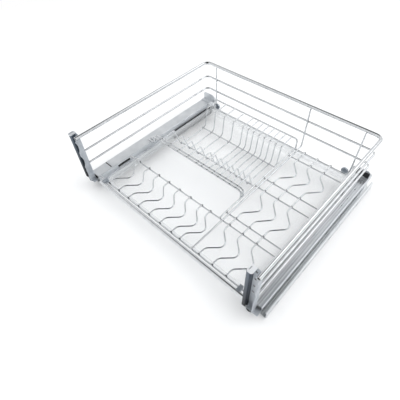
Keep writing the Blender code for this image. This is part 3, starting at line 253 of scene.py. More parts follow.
# Black steel for the adjuster discs; the same dark colour is painted shade in the holes' bores and
# the screws' sockets.
BLACK_STEEL_AND_RECESS_SHADE = zinc_sheet("black_adjuster_steel_and_recess_shade", ("#1E2022", "#33363A"), (0.40, 0.55), 0.6)
SLIDE_STEEL = rolled_strip("cold_rolled_slide_steel", ("#C6CACD", "#E6E8EA"), (0.24, 0.36),
                           STRIP_LINE)
# The right channel's ribs are light and dark lines painted into the colour: painted shade over a
# faint real relief.
RIB_SHADED_ZINC = rolled_strip("ribbed_zinc_painted_rib_shade", ("#B4B8BD", "#DCDFE2"), (0.26, 0.38), RIB_SHADE_LINE)
print("sheet steel:", ", ".join(steel.name for steel in (
    BLUE_ZINC, PALE_ZINC, CAP_ZINC_PAINTED_LIGHT, SCREW_STEEL, BLACK_STEEL_AND_RECESS_SHADE, SLIDE_STEEL, RIB_SHADED_ZINC)))

# %% [markdown]
# ## Plastics
# The drip tray is a thin polypropylene moulding, clear but faintly cloudy. A real refraction
# through its thin wall would cost many samples, so the shader is mostly see-through, in a near
# white, with a soft gloss on top. The locks and soft-close housings are black nylon with the fine
# sparkle of a spark-eroded mould, and the roller cages are ivory acetal.

# %% Plastic materials
MOULD_GRAIN = 0.0006       # sparkle of the mould's surface
MOULD_RELIEF = (0.00005, 0.3)
TRAY_HAZE = 0.025          # size of the tray's cloudy patches
TRAY_FLOOR = 0.004         # the tray stays clear up to this height over its underside
TRAY_CLEAR = 0.09          # how much of the floor's surface shows, and of the rim's
TRAY_MILKY = 0.38


def clear_polypropylene():
    """Clear at the floor, and milkier up the walls, where the eye looks along the sheet."""
    material, tree, shader = new_material("clear_polypropylene_tray", Metallic=0.0, IOR=1.49)
    haze = object_noise(tree, TRAY_HAZE)
    coloured(tree, shader, haze, haze, ("#EDF0F2", "#F7F9FA"), (0.12, 0.24))
    low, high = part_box("drip_tray")
    milk = add_node(tree, "ShaderNodeMapRange", {},
                    {"From Min": low.z + TRAY_FLOOR, "From Max": high.z, "To Min": TRAY_CLEAR,
                     "To Max": TRAY_MILKY}, {"Value": object_place(tree).outputs["Z"]})
    tree.links.new(milk.outputs["Result"], shader.inputs["Alpha"])
    return material


def moulded_plastic(name, colours, roughness):
    """Plastic with the fine grain of its mould."""
    material, tree, shader = new_material(name, Metallic=0.0, IOR=1.5)
    grain = object_noise(tree, MOULD_GRAIN, detail=1.0)
    coloured(tree, shader, grain, grain, colours, roughness, edge=0.35)
    bumped(tree, shader, grain.outputs["Fac"], *MOULD_RELIEF)
    return material


CLEAR_TRAY = clear_polypropylene()
# The same black nylon also paints the shade in the left channel's slot.
BLACK_NYLON_AND_SLOT_SHADE = moulded_plastic("black_nylon_and_slot_shade", ("#17181A", "#242629"), (0.40, 0.55))
IVORY_ACETAL = moulded_plastic("ivory_acetal_cage", ("#CFCBBF", "#DDD9CE"), (0.35, 0.48))
print("plastics:", CLEAR_TRAY.name, BLACK_NYLON_AND_SLOT_SHADE.name, "and", IVORY_ACETAL.name)

# %% Give the frame's own pieces their finishes
FINISH = {"chrome": CHROME, "zinc_plate": BLUE_ZINC, "white_steel": PALE_ZINC,
          "slide_steel": SLIDE_STEEL, "tray_plastic": CLEAR_TRAY, "black_plastic": BLACK_NYLON_AND_SLOT_SHADE,
          "cage_plastic": IVORY_ACETAL}
for part in frame["record"]["subparts"]:
    slots = frame["nodes"][part["node"]].data.materials
    slots.clear()
    slots.append(FINISH[part["material_slot"]])
frame["nodes"]["side_channel_right"].data.materials[0] = RIB_SHADED_ZINC
# The right cap's paler zinc is painted light.
frame["nodes"]["bracket_cap_right"].data.materials[0] = CAP_ZINC_PAINTED_LIGHT
for hand in ("left", "right"):
    frame["nodes"]["front_bracket_" + hand].data.materials[0] = shaded_bracket_plate(hand)

# %% [markdown]
# ## One tree for every wire
# A wire is a path with rounded corners and a round section. In Geometry Nodes that is a fillet and
# a sweep: the path's corners come in as a mesh of loose edges, each corner with its own bend, and
# the tree rounds them, sweeps a circle along and closes the ends. The basket's rails, the base and
# the insert all come from this one tree.

# %% Build the wire tree
def new_tree(name, inputs):
    """An empty geometry tree with a mesh input and named inputs of its own."""
    tree = bpy.data.node_groups.new(name, "GeometryNodeTree")
    tree.interface.new_socket("Geometry", in_out="INPUT", socket_type="NodeSocketGeometry")
    for label, kind in inputs:
        tree.interface.new_socket(label, in_out="INPUT", socket_type=kind)
    tree.interface.new_socket("Geometry", in_out="OUTPUT", socket_type="NodeSocketGeometry")
    return tree, add_node(tree, "NodeGroupInput"), add_node(tree, "NodeGroupOutput")


def end_tree(tree, given, result, geometry):
    """Ends a tree with real geometry in one material, since an export drops instances."""
    real = add_node(tree, "GeometryNodeRealizeInstances", {}, {}, {"Geometry": geometry})
    painted = add_node(tree, "GeometryNodeSetMaterial", {}, {},
                       {"Geometry": real.outputs["Geometry"], "Material": given.outputs["Finish"]})
    tree.links.new(painted.outputs["Geometry"], result.inputs["Geometry"])


def wire_tree():
    """Corners in, round wire out."""
    tree, given, result = new_tree("round_wire", (
        ("Diameter", "NodeSocketFloat"), ("Sides", "NodeSocketInt"),
        ("Bend steps", "NodeSocketInt"), ("Finish", "NodeSocketMaterial")))
    path = add_node(tree, "GeometryNodeMeshToCurve", {}, {}, {"Mesh": given.outputs["Geometry"]})
    bend = add_node(tree, "GeometryNodeInputNamedAttribute", {"data_type": "FLOAT"},
                    {"Name": "bend"})
    fillet = add_node(tree, "GeometryNodeFilletCurve", {"mode": "POLY"}, {"Limit Radius": True},
                      {"Curve": path.outputs["Curve"], "Radius": bend.outputs["Attribute"],
                       "Count": given.outputs["Bend steps"]})
    radius = add_node(tree, "ShaderNodeMath", {"operation": "MULTIPLY"}, {1: 0.5},
                      {0: given.outputs["Diameter"]})
    circle = add_node(tree, "GeometryNodeCurvePrimitiveCircle", {"mode": "RADIUS"}, {},
                      {"Resolution": given.outputs["Sides"], "Radius": radius.outputs["Value"]})
    sweep = add_node(tree, "GeometryNodeCurveToMesh", {}, {"Fill Caps": True},
                     {"Curve": fillet.outputs["Curve"], "Profile Curve": circle.outputs["Curve"]})
    end_tree(tree, given, result, sweep.outputs["Mesh"])
    return tree


WIRE_TREE = wire_tree()
print("wire tree:", len(WIRE_TREE.nodes), "nodes")

# %% Turn paths into pieces
def linked(name, mesh):
    """A mesh as an object of the scene."""
    piece = bpy.data.objects.new(name, mesh)
    bpy.context.scene.collection.objects.link(piece)
    return piece


def shaped(name, shape, finish):
    """A finished bmesh as an object of one material."""
    mesh = bpy.data.meshes.new(name)
    shape.to_mesh(mesh)
    shape.free()
    mesh.materials.append(finish)
    return linked(name, mesh)


def scattered(name, places):
    """A mesh of bare points, one at each place."""
    mesh = bpy.data.meshes.new(name)
    mesh.from_pydata([Vector(place) for place in places], [], [])
    return mesh


def grown(name, mesh, tree, settings):
    """A mesh put through a tree, made into one plain mesh object without the modifier."""
    seed = linked(name, mesh)
    modifier = seed.modifiers.new("grow", "NODES")
    modifier.node_group = tree
    sockets = {item.name: item.identifier for item in tree.interface.items_tree
               if item.item_type == "SOCKET" and item.in_out == "INPUT"}
    for label, value in settings.items():
        modifier[sockets[label]] = value
    bpy.context.view_layer.update()
    evaluated = seed.evaluated_get(bpy.context.evaluated_depsgraph_get())
    result = bpy.data.meshes.new_from_object(evaluated)
    bpy.data.objects.remove(seed)
    return linked(name, result)


SHARP_EDGE = math.radians(40)
MERGE_GAP = 0.00001        # points closer than this become one


def face_outward(mesh, sharp=SHARP_EDGE):
    """Welds a closed mesh, turns its faces outward and shades it smooth up to an angle."""
    shape = bmesh.new()
    shape.from_mesh(mesh)
    bmesh.ops.remove_doubles(shape, verts=shape.verts, dist=MERGE_GAP)
    bmesh.ops.recalc_face_normals(shape, faces=shape.faces)
    shape.to_mesh(mesh)
    shape.free()
    mesh.shade_smooth()
    mesh.set_sharp_from_angle(angle=sharp)


def fitted(piece, body, slot, *nodes):
    """A finished piece rides its body and stands for its frame nodes. Its slot is not used."""
    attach(piece, body)
    if nodes:
        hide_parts(*nodes)
    return piece


WIRE_SIDES = 16
BEND_STEPS = 8


def round_wires(name, routes, diameter, sides=WIRE_SIDES):
    """Wires of one diameter; each route is a list of (point, bend radius at it)."""
    mesh = bpy.data.meshes.new(name)
    points = [Vector(point) for route in routes for point, bend in route]
    edges = []
    first = 0
    for route in routes:
        edges += [(first + step, first + step + 1) for step in range(len(route) - 1)]
        first += len(route)
    mesh.from_pydata(points, edges, [])
    bends = mesh.attributes.new("bend", "FLOAT", "POINT")
    bends.data.foreach_set("value", [bend for route in routes for point, bend in route])
    piece = grown(name, mesh, WIRE_TREE, {"Diameter": diameter, "Sides": sides,
                                          "Bend steps": BEND_STEPS, "Finish": CHROME})
    face_outward(piece.data)
    return piece


def middle(low, high):
    """Halfway between two numbers or two points."""
    return (low + high) / 2


# %% [markdown]
# ## The rails
# One tube and two wires make the sides and the back of the basket, open to the front. Their places
# and thickness are read from the frame: a rail's box gives its height, and the box's edges less
# half the thickness give its centre line.

# %% Make the rails
RAIL_BENDS = {"top_rail": 0.016, "middle_rail": 0.013, "lower_rail": 0.013}
RAIL_SIDES = 24
TUBE_WALL = 0.0011
BORE_DEPTH = 0.012


def rail(node, bend):
    """A rail from its front end round the two back corners."""
    low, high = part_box(node)
    thick = high.z - low.z
    half = thick / 2
    z = middle(low.z, high.z)
    left, right, back = low.x + half, high.x - half, high.y - half
    route = [((left, low.y, z), 0), ((left, back, z), bend),
             ((right, back, z), bend), ((right, low.y, z), 0)]
    return fitted(round_wires(node + "_round", [route], thick, RAIL_SIDES), "basket", "chrome",
                  node)


def bore_ends(piece):
    """Opens the ends of a tube, with a bore that closes a little way in."""
    shape = bmesh.new()
    shape.from_mesh(piece.data)
    caps = [face for face in shape.faces if len(face.verts) == RAIL_SIDES]
    for end in caps:
        inward = -end.normal.copy()
        bmesh.ops.inset_region(shape, faces=[end], thickness=TUBE_WALL)
        bored = bmesh.ops.extrude_discrete_faces(shape, faces=[end])["faces"][0]
        bmesh.ops.translate(shape, verts=bored.verts, vec=inward * BORE_DEPTH)
    shape.to_mesh(piece.data)
    shape.free()
    face_outward(piece.data)


RAILS = {node: rail(node, bend) for node, bend in RAIL_BENDS.items()}
bore_ends(RAILS["top_rail"])
print("rails:", ", ".join(RAILS))

# %% Make the back uprights
UPRIGHTS = ["back_upright_" + place for place in ("left", "centre", "right")]
UPRIGHT_BEND = 0.008


def upright(node):
    """A wire behind the rails whose foot bends forward."""
    low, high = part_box(node)
    thick = high.x - low.x
    x = middle(low.x, high.x)
    back, foot = high.y - thick / 2, low.z + thick / 2
    route = [((x, back, high.z), 0), ((x, back, foot), UPRIGHT_BEND), ((x, low.y, foot), 0)]
    return fitted(round_wires(node + "_round", [route], thick), "basket", "chrome", node)


for upright_node in UPRIGHTS:
    upright(upright_node)
print("uprights:", len(UPRIGHTS))

# %% [markdown]
# ## The base
# Straight wires cross the base, and a bowed wire lies on them for each plate or bowl. Each bow is
# three bends: out of the straight, round the tip and back. The two legs of a bow would meet well
# past its tip, so the corner is placed out there, and the large fillet brings the wire back.

# %% Make the base wires
BOW_STRAIGHT = 0.020       # from a cross wire to the corner where a leg leaves it
BOW_PEAK = 0.033           # where the two legs would meet
BOW_END_BEND = 0.018
BOW_TIP_BEND = 0.015
WIRE_OVERHANG = 0.003      # how far a wire passes the one it is welded to


def straight_wire(node):
    """A wire through the middle of its node's box, along its longer side."""
    low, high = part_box(node)
    size = high - low
    start, end = middle(low, high), middle(low, high)
    axis = 0 if size.x > size.y else 1
    start[axis], end[axis] = low[axis], high[axis]
    route = [(start, 0), (end, 0)]
    return fitted(round_wires(node + "_round", [route], size.z), "basket", "chrome", node)


def crossing(node):
    """How far back a cross wire lies."""
    low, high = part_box(node)
    return middle(low.y, high.y)


def bowed_wire(node, bays):
    """A plate wire with one bow in each bay between two cross wires."""
    low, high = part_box(node)
    thick = high.z - low.z
    x, z = low.x + thick / 2, middle(low.z, high.z)
    route = [((x, low.y, z), 0)]
    for near, far in bays:
        route += [((x, near + BOW_STRAIGHT, z), BOW_END_BEND),
                  ((x + BOW_PEAK, middle(near, far), z), BOW_TIP_BEND),
                  ((x, far - BOW_STRAIGHT, z), BOW_END_BEND)]
    route.append(((x, high.y, z), 0))
    return fitted(round_wires(node + "_round", [route], thick), "basket", "chrome", node)


CROSS_WIRES = ["front_wire", "bowl_back_wire"]
CROSS_WIRES += [f"right_cross_wire_{number}" for number in range(1, 5)] + ["back_wire"]
CROSS_Y = {node: crossing(node) for node in CROSS_WIRES}
FRONT_BAY = (CROSS_Y["front_wire"], CROSS_Y["bowl_back_wire"])
LONG_BAYS = (FRONT_BAY, (CROSS_Y["right_cross_wire_1"], CROSS_Y["right_cross_wire_2"]),
             (CROSS_Y["right_cross_wire_3"], CROSS_Y["right_cross_wire_4"]))
BOWL_WIRES = [f"bowl_wire_{number}" for number in range(1, 9)]
LONG_WIRES = [f"long_bowl_wire_{number}" for number in range(1, 4)]
for straight_node in CROSS_WIRES + ["partition_wire", "rack_side_wire", "front_bar"]:
    straight_wire(straight_node)
for bowl_node in BOWL_WIRES:
    bowed_wire(bowl_node, (FRONT_BAY,))
for long_node in LONG_WIRES:
    bowed_wire(long_node, LONG_BAYS)
print("bays in mm:", [round(1000 * (far - near), 1) for near, far in LONG_BAYS])

# %% [markdown]
# ## The plate insert
# The insert is one welded piece. Every rib follows the same outline: from the back rail it runs
# forward, drops into the trough, crosses the floor and climbs to the front rails. The outline is
# written once, as runs forward from the back rail, and a loop gives each rib its place across.

# %% Sizes of the insert
INSERT_LOW, INSERT_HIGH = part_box("plate_insert")
SIDE_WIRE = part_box("rack_side_wire")
RIB_WIRE = 0.0032
BACK_RAIL_WIRE = 0.004
FRONT_RAIL_WIRE = 0.005
FLOOR_WIRE = 0.0035
FRONT_RAIL_PITCH = 0.008
RIB_BEND = 0.004
LEG_BEND = 0.007
LEDGE_DROP = 0.003         # from the back rail down to a rib's upper bends
FRONT_DROP = 0.0045        # from the back rail down to the front rails
FOOT_RISE = 0.006          # from the trough's floor to the foot of its back wall
HOOK_ROOM = 0.024          # from the hooks' ends to the front rails' left legs
LEG_ROOM = 0.0425          # from the hooks' ends to the back rail's left leg
WIDE_PITCH = 0.03349
NARROW_PITCH = 0.01799
WIDE_RIBS = 5
NARROW_RIBS = 7
FIRST_RIB = 0.0530         # from the hooks' ends to the first rib
LEDGE_RUN = 0.0480         # forward from the back rail: to the end of the ledge,
WALL_RUN = 0.0560          # to the foot of the back wall,
FLOOR_BACK_RUN = 0.0650    # to the floor's back bend,
FLOOR_FRONT_RUN = 0.1630   # to its front bend,
RISE_RUN = 0.1830          # and to the top of the front slope
BACK_WIRE_Y = CROSS_Y["back_wire"]
RAIL_Z = INSERT_HIGH.z - BACK_RAIL_WIRE / 2
FLOOR_Z = INSERT_LOW.z + RIB_WIRE / 2
RIGHT_LEG_X = middle(SIDE_WIRE[0].x, SIDE_WIRE[1].x)
FRONT_RAIL_Y = INSERT_LOW.y + FRONT_RAIL_WIRE / 2
FLOOR_BACK_Y = BACK_WIRE_Y - FLOOR_BACK_RUN
FLOOR_FRONT_Y = BACK_WIRE_Y - FLOOR_FRONT_RUN
print("insert in mm:", [round(1000 * side, 1) for side in INSERT_HIGH - INSERT_LOW])

# %% Make the insert's wires
def rib_route(x):
    """One rib's corners, from the back rail to the front rails."""
    back, floor, ledge = BACK_WIRE_Y, FLOOR_Z, RAIL_Z - LEDGE_DROP
    return [((x, back, RAIL_Z), 0), ((x, back - LEDGE_RUN, ledge), RIB_BEND),
            ((x, back - WALL_RUN, floor + FOOT_RISE), RIB_BEND),
            ((x, FLOOR_BACK_Y, floor), RIB_BEND), ((x, FLOOR_FRONT_Y, floor), RIB_BEND),
            ((x, back - RISE_RUN, ledge), RIB_BEND),
            ((x, FRONT_RAIL_Y, RAIL_Z - FRONT_DROP), 0)]


RIB_X = [INSERT_LOW.x + FIRST_RIB + WIDE_PITCH * number for number in range(WIDE_RIBS)]
RIB_X += [RIB_X[-1] + NARROW_PITCH * (number + 1) for number in range(NARROW_RIBS)]
SIDE_TOP = SIDE_WIRE[1].z
BASE_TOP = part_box("front_wire")[1].z
CHANNEL_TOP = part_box("side_channel_left")[1].z
LIFT_GAP = 0.0003          # between the feet and what they stand on
FLOOR_RAIL_Z = FLOOR_Z + (RIB_WIRE + FLOOR_WIRE) / 2
FRONT_RAIL_PLACES = [(FRONT_RAIL_Y + FRONT_RAIL_PITCH * number, RAIL_Z - FRONT_DROP)
                     for number in range(2)]
FLOOR_RAIL_PLACES = (FLOOR_BACK_Y - FLOOR_WIRE, FLOOR_FRONT_Y + FLOOR_WIRE)


def back_rail_route():
    """The back rail and its two legs."""
    left = INSERT_LOW.x + LEG_ROOM
    return [((left, BACK_WIRE_Y, BASE_TOP + LIFT_GAP), 0), ((left, BACK_WIRE_Y, RAIL_Z), LEG_BEND),
            ((RIGHT_LEG_X, BACK_WIRE_Y, RAIL_Z), LEG_BEND),
            ((RIGHT_LEG_X, BACK_WIRE_Y, SIDE_TOP + LIFT_GAP), 0)]


def front_rail_route(y, z):
    """A front rail, from its hook on the left channel to its leg on the base."""
    hook_z = CHANNEL_TOP + LIFT_GAP + FRONT_RAIL_WIRE / 2
    leg = INSERT_LOW.x + HOOK_ROOM
    return [((INSERT_LOW.x, y, hook_z), 0), ((leg, y, hook_z), LEG_BEND), ((leg, y, z), LEG_BEND),
            ((RIGHT_LEG_X, y, z), LEG_BEND), ((RIGHT_LEG_X, y, SIDE_TOP + LIFT_GAP), 0)]


def floor_rail_route(y):
    """A rail on the trough's floor, a little longer than the row of ribs."""
    return [((RIB_X[0] - WIRE_OVERHANG, y, FLOOR_RAIL_Z), 0),
            ((RIB_X[-1] + WIRE_OVERHANG, y, FLOOR_RAIL_Z), 0)]


INSERT_SETS = (
    ("insert_ribs", [rib_route(x) for x in RIB_X], RIB_WIRE),
    ("insert_back_rail", [back_rail_route()], BACK_RAIL_WIRE),
    ("insert_front_rails", [front_rail_route(y, z) for y, z in FRONT_RAIL_PLACES],
     FRONT_RAIL_WIRE),
    ("insert_floor_rails", [floor_rail_route(y) for y in FLOOR_RAIL_PLACES], FLOOR_WIRE))
for set_name, set_routes, set_wire in INSERT_SETS:
    fitted(round_wires(set_name, set_routes, set_wire), "insert", "chrome", "plate_insert")
    print(f"{set_name}: {len(set_routes)} wires")

# %% [markdown]
# ## Spot welds
# Where two wires cross they are pressed together and welded, which leaves a small swelling that the
# plating covers. A tree puts the same flattened bead at every crossing, because there are more than
# a hundred of them and they are all alike.

# %% Build the bead tree
def bead_tree():
    """A flattened ball at each point."""
    tree, given, result = new_tree("weld_beads", (
        ("Width", "NodeSocketFloat"), ("Flatness", "NodeSocketFloat"),
        ("Finish", "NodeSocketMaterial")))
    # The ball is one metre across, so the scale of an instance is the size of its bead.
    ball = add_node(tree, "GeometryNodeMeshIcoSphere", {}, {"Subdivisions": 2, "Radius": 0.5})
    smooth = add_node(tree, "GeometryNodeSetShadeSmooth", {}, {},
                      {"Geometry": ball.outputs["Mesh"]})
    size = add_node(tree, "ShaderNodeCombineXYZ", {}, {},
                    {"X": given.outputs["Width"], "Y": given.outputs["Width"]})
    height = add_node(tree, "ShaderNodeMath", {"operation": "MULTIPLY"}, {},
                      {0: given.outputs["Width"], 1: given.outputs["Flatness"]})
    tree.links.new(height.outputs["Value"], size.inputs["Z"])
    beads = add_node(tree, "GeometryNodeInstanceOnPoints", {}, {},
                     {"Points": given.outputs["Geometry"], "Instance": smooth.outputs["Geometry"],
                      "Scale": size.outputs["Vector"]})
    end_tree(tree, given, result, beads.outputs["Instances"])
    return tree


BEAD_TREE = bead_tree()
BEAD_WIDTH = 0.0042
BEAD_FLATNESS = 0.62


def welds(name, places, body, width=BEAD_WIDTH, flatness=BEAD_FLATNESS, finish=WELD_CHROME):
    """One piece of equal beads, one at each place."""
    piece = grown(name, scattered(name, places), BEAD_TREE,
                  {"Width": width, "Flatness": flatness, "Finish": finish})
    print(f"{name}: {len(places)} beads")
    return fitted(piece, body, "chrome")


# %% Weld the base and the insert
def crosses(node, cross):
    """Whether a wire along the rack passes over a cross wire."""
    low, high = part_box(node)
    left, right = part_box(cross)
    return low.y <= CROSS_Y[cross] <= high.y and left.x <= low.x + WIRE_OVERHANG <= right.x


BASE_BEAD = 0.0050         # a collar of scorched plating round the upper wire
COLLAR_FLATNESS = 1.0
WELD_SINK = 0.0004         # from the upper wire's middle down to the collar's middle
ALONG_WIRES = BOWL_WIRES + LONG_WIRES + ["partition_wire", "rack_side_wire"]
base_places = []
for along in ALONG_WIRES:
    wire_low, wire_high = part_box(along)
    thick = wire_high.z - wire_low.z
    base_places += [(wire_low.x + thick / 2, CROSS_Y[cross], wire_low.z + thick / 2 - WELD_SINK)
                    for cross in CROSS_WIRES if crosses(along, cross)]
welds("base_welds", base_places, "basket", BASE_BEAD, COLLAR_FLATNESS)

insert_places = [(x, y, FLOOR_Z + RIB_WIRE / 2) for x in RIB_X for y in FLOOR_RAIL_PLACES]
insert_places += [(x, y, z + RIB_WIRE / 2) for x in RIB_X for y, z in FRONT_RAIL_PLACES]
insert_places += [(x, BACK_WIRE_Y, RAIL_Z) for x in RIB_X]
welds("insert_welds", insert_places, "insert")

# %% Weld the rails to the uprights and the brackets
UPRIGHT_BEAD = 0.0048
RAIL_END_BEAD = 0.00625
THIN_RAILS = [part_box(node) for node in ("middle_rail", "lower_rail")]
upright_places = []
for upright_node in UPRIGHTS:
    up_low, up_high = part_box(upright_node)
    x = middle(up_low.x, up_high.x)
    upright_places += [(x, rail_high.y - (rail_high.z - rail_low.z),
                        middle(rail_low.z, rail_high.z)) for rail_low, rail_high in THIN_RAILS]
    upright_places.append((x, BACK_WIRE_Y, up_low.z))
welds("upright_welds", upright_places, "basket", UPRIGHT_BEAD)

rail_end_places = []
for rail_low, rail_high in THIN_RAILS:
    half = (rail_high.z - rail_low.z) / 2
    rail_end_places += [(x, rail_low.y, middle(rail_low.z, rail_high.z))
                        for x in (rail_low.x + half, rail_high.x - half)]
welds("rail_end_welds_50", rail_end_places, "basket", RAIL_END_BEAD, finish=CHROME)

# %% [markdown]
# ## Fasteners at the brackets
# Eyelets line the holes in each bracket's back plate, a pan head screw holds each foot, and a dark
# disc under it sets the basket's height. A tree puts the same ring at every hole. Screws, discs and
# the dark plugs painted as shade in the holes' bores and the screws' sockets are turned parts: a
# small outline is spun once round its axis.

# %% Build the eyelet tree
EYELET_STEPS = 24          # round the hole
BAR_STEPS = 10             # round the eyelet's own section


def eyelet_tree():
    """A tilted ring of round bar at each point."""
    tree, given, result = new_tree("eyelets", (
        ("Radius", "NodeSocketFloat"), ("Thickness", "NodeSocketFloat"),
        ("Tilt", "NodeSocketVector"), ("Finish", "NodeSocketMaterial")))
    path = add_node(tree, "GeometryNodeCurvePrimitiveCircle", {"mode": "RADIUS"},
                    {"Resolution": EYELET_STEPS}, {"Radius": given.outputs["Radius"]})
    half = add_node(tree, "ShaderNodeMath", {"operation": "MULTIPLY"}, {1: 0.5},
                    {0: given.outputs["Thickness"]})
    round_bar = add_node(tree, "GeometryNodeCurvePrimitiveCircle", {"mode": "RADIUS"},
                         {"Resolution": BAR_STEPS}, {"Radius": half.outputs["Value"]})
    eyelet = add_node(tree, "GeometryNodeCurveToMesh", {}, {},
                      {"Curve": path.outputs["Curve"], "Profile Curve": round_bar.outputs["Curve"]})
    smooth = add_node(tree, "GeometryNodeSetShadeSmooth", {}, {},
                      {"Geometry": eyelet.outputs["Mesh"]})
    placed = add_node(tree, "GeometryNodeInstanceOnPoints", {}, {},
                      {"Points": given.outputs["Geometry"], "Instance": smooth.outputs["Geometry"],
                       "Rotation": given.outputs["Tilt"]})
    end_tree(tree, given, result, placed.outputs["Instances"])
    return tree


EYELET_TREE = eyelet_tree()
print("eyelet tree:", len(EYELET_TREE.nodes), "nodes")

# %% Put the eyelets in the back plates
EYELET_RADIUS = 0.0026
EYELET_BEAD = 0.0011
EYELET_SHARES = (0.50, 0.64, 0.79, 0.94)   # up the bracket
PLATE_FACE = 0.0148        # from the bracket's front edge back to the plate's front face
HOLE_SIDE = 0.0127         # from the bracket's left edge to the holes
HOLE_SHADE_OUTLINE = ((0.0019, -0.0020), (0.0019, 0.0002), (0.0012, 0.0005))   # painted shade: a dark plug in the bore of each hole
HOLE_SHADE_STEPS = 16
HEAD_STEPS = 28
TURNED_EDGE = math.radians(35)   # a turned part's edges are sharp from this angle
FORWARD = Vector((0, -1, 0))
UPWARD = Vector((0, 0, 1))


def eyelets(hand):
    """The rings in one bracket's plate; returns the places of its holes."""
    low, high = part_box("front_bracket_" + hand)
    places = [Vector((low.x + HOLE_SIDE, low.y + PLATE_FACE, high.z * share))
              for share in EYELET_SHARES]
    name = "eyelets_" + hand
    piece = grown(name, scattered(name, places), EYELET_TREE, {
        "Radius": EYELET_RADIUS, "Thickness": EYELET_BEAD, "Tilt": (math.pi / 2, 0, 0),
        "Finish": SCREW_STEEL})
    face_outward(piece.data)
    fitted(piece, "basket", "zinc_plate")
    return places


def spun(name, outline, place, axis, finish, steps=HEAD_STEPS):
    """A solid turned from (radius, height) points round an axis through a place."""
    shape = bmesh.new()
    rows = []
    for number in range(steps):
        angle = 2 * math.pi * number / steps
        rows.append([shape.verts.new((radius * math.cos(angle), radius * math.sin(angle), height))
                     for radius, height in outline])
    for number in range(steps):
        here, after = rows[number], rows[(number + 1) % steps]
        for step in range(len(outline) - 1):
            shape.faces.new((here[step], after[step], after[step + 1], here[step + 1]))
    shape.faces.new([row[0] for row in rows])
    shape.faces.new([row[-1] for row in rows])
    turn = UPWARD.rotation_difference(axis).to_matrix().to_4x4()
    bmesh.ops.transform(shape, matrix=Matrix.Translation(place) @ turn, verts=shape.verts)
    piece = shaped(name, shape, finish)
    face_outward(piece.data, TURNED_EDGE)
    return fitted(piece, "basket", "zinc_plate")


for hand in ("left", "right"):
    for number, place in enumerate(eyelets(hand), 1):
        spun(f"hole_shade_plug_{hand}_{number}", HOLE_SHADE_OUTLINE, place, FORWARD, BLACK_STEEL_AND_RECESS_SHADE, HOLE_SHADE_STEPS)
print("eyelets:", 2 * len(EYELET_SHARES))

# %% Fill the slot of the left channel with painted shade
SLOT_BACK = 0.0610         # from the bracket's front edge back to the slot's middle
SLOT_SIZE = Vector((0.0262, 0.0034, 0.0008))
SLOT_LEFT = 0.0020         # from the channel's outer edge to the slot's end
SLOT_DROP = 0.0012         # from the channel's top down to the shade block's middle


def slot_shade_block():
    """A dark block in the slot in the channel's top: painted shade for the slot's shadowed inside.
    """
    channel_low, channel_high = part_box("side_channel_left")
    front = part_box("front_bracket_left")[0].y
    centre = Vector((channel_low.x + SLOT_LEFT + SLOT_SIZE.x / 2, front + SLOT_BACK,
                     channel_high.z - SLOT_DROP))
    shape = bmesh.new()
    bmesh.ops.create_cube(shape, size=1.0)
    bmesh.ops.transform(shape, matrix=Matrix.Translation(centre) @ Matrix.Diagonal(
        SLOT_SIZE.to_4d()), verts=shape.verts)
    return fitted(shaped("slot_shade_block", shape, BLACK_NYLON_AND_SLOT_SHADE), "basket", "black_plastic")


print("slot closed by", slot_shade_block().name)

# %% Screw the feet and hang the adjusters
BRACKET_SHEET = 0.0015
HEAD_OUTLINE = ((0.0034, 0.0001), (0.0034, 0.0009), (0.0028, 0.0017), (0.0016, 0.0020))
# Painted shade: a dark stub in each screw head stands for the shade in its socket.
SOCKET_SHADE_OUTLINE = ((0.0013, 0.0012), (0.0013, 0.00205))
DISC_OUTLINE = ((0.0090, 0.0), (0.0105, 0.0006), (0.0105, 0.0018), (0.0090, 0.0024),
                (0.0036, 0.0024), (0.0036, 0.0055))
SOCKET_STEPS = 12
DISC_STEPS = 40
SCREW_IN = Vector((0.0085, 0.0080, BRACKET_SHEET))   # from the bracket's low front left corner
DISC_IN = Vector((0.0160, 0.0125, -0.0058))

for hand in ("left", "right"):
    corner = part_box("front_bracket_" + hand)[0]
    spun("foot_screw_" + hand, HEAD_OUTLINE, corner + SCREW_IN, UPWARD, SCREW_STEEL)
    spun("foot_screw_socket_shade_" + hand, SOCKET_SHADE_OUTLINE, corner + SCREW_IN, UPWARD, BLACK_STEEL_AND_RECESS_SHADE,
         SOCKET_STEPS)
    spun("adjuster_disc_" + hand, DISC_OUTLINE, corner + DISC_IN, UPWARD, BLACK_STEEL_AND_RECESS_SHADE, DISC_STEPS)
    print("foot", hand, "has its screw and adjuster")

# %% [markdown]
# ## The drip tray
# The tray is one shallow moulding: a flat rim that hangs on the channels, walls that lean in so
# that it leaves its mould, and a floor with a raised middle so that water runs to the edges. Nested
# round-cornered rings, bridged from one to the next, make the sheet, and Solidify gives it a wall.

# %% Mould the tray
TRAY_LOW, TRAY_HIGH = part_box("drip_tray")
TRAY_WALL = 0.0015
TRAY_RIM = 0.009
TRAY_DRAFT = 0.006
CORNER_STEPS = 10
ROUNDING = 0.0018          # the round edges between rim, wall and floor
PANEL_IN = 0.010           # from the foot of the wall to the raised middle of the floor
PANEL_SLOPE = 0.002
PANEL_RISE = 0.0008
# The corner radius of each ring, from the rim's outer edge to the raised middle.
RING_CORNERS = (0.022, 0.022, 0.022, 0.018, 0.017, 0.015, 0.014, 0.013, 0.012, 0.011)


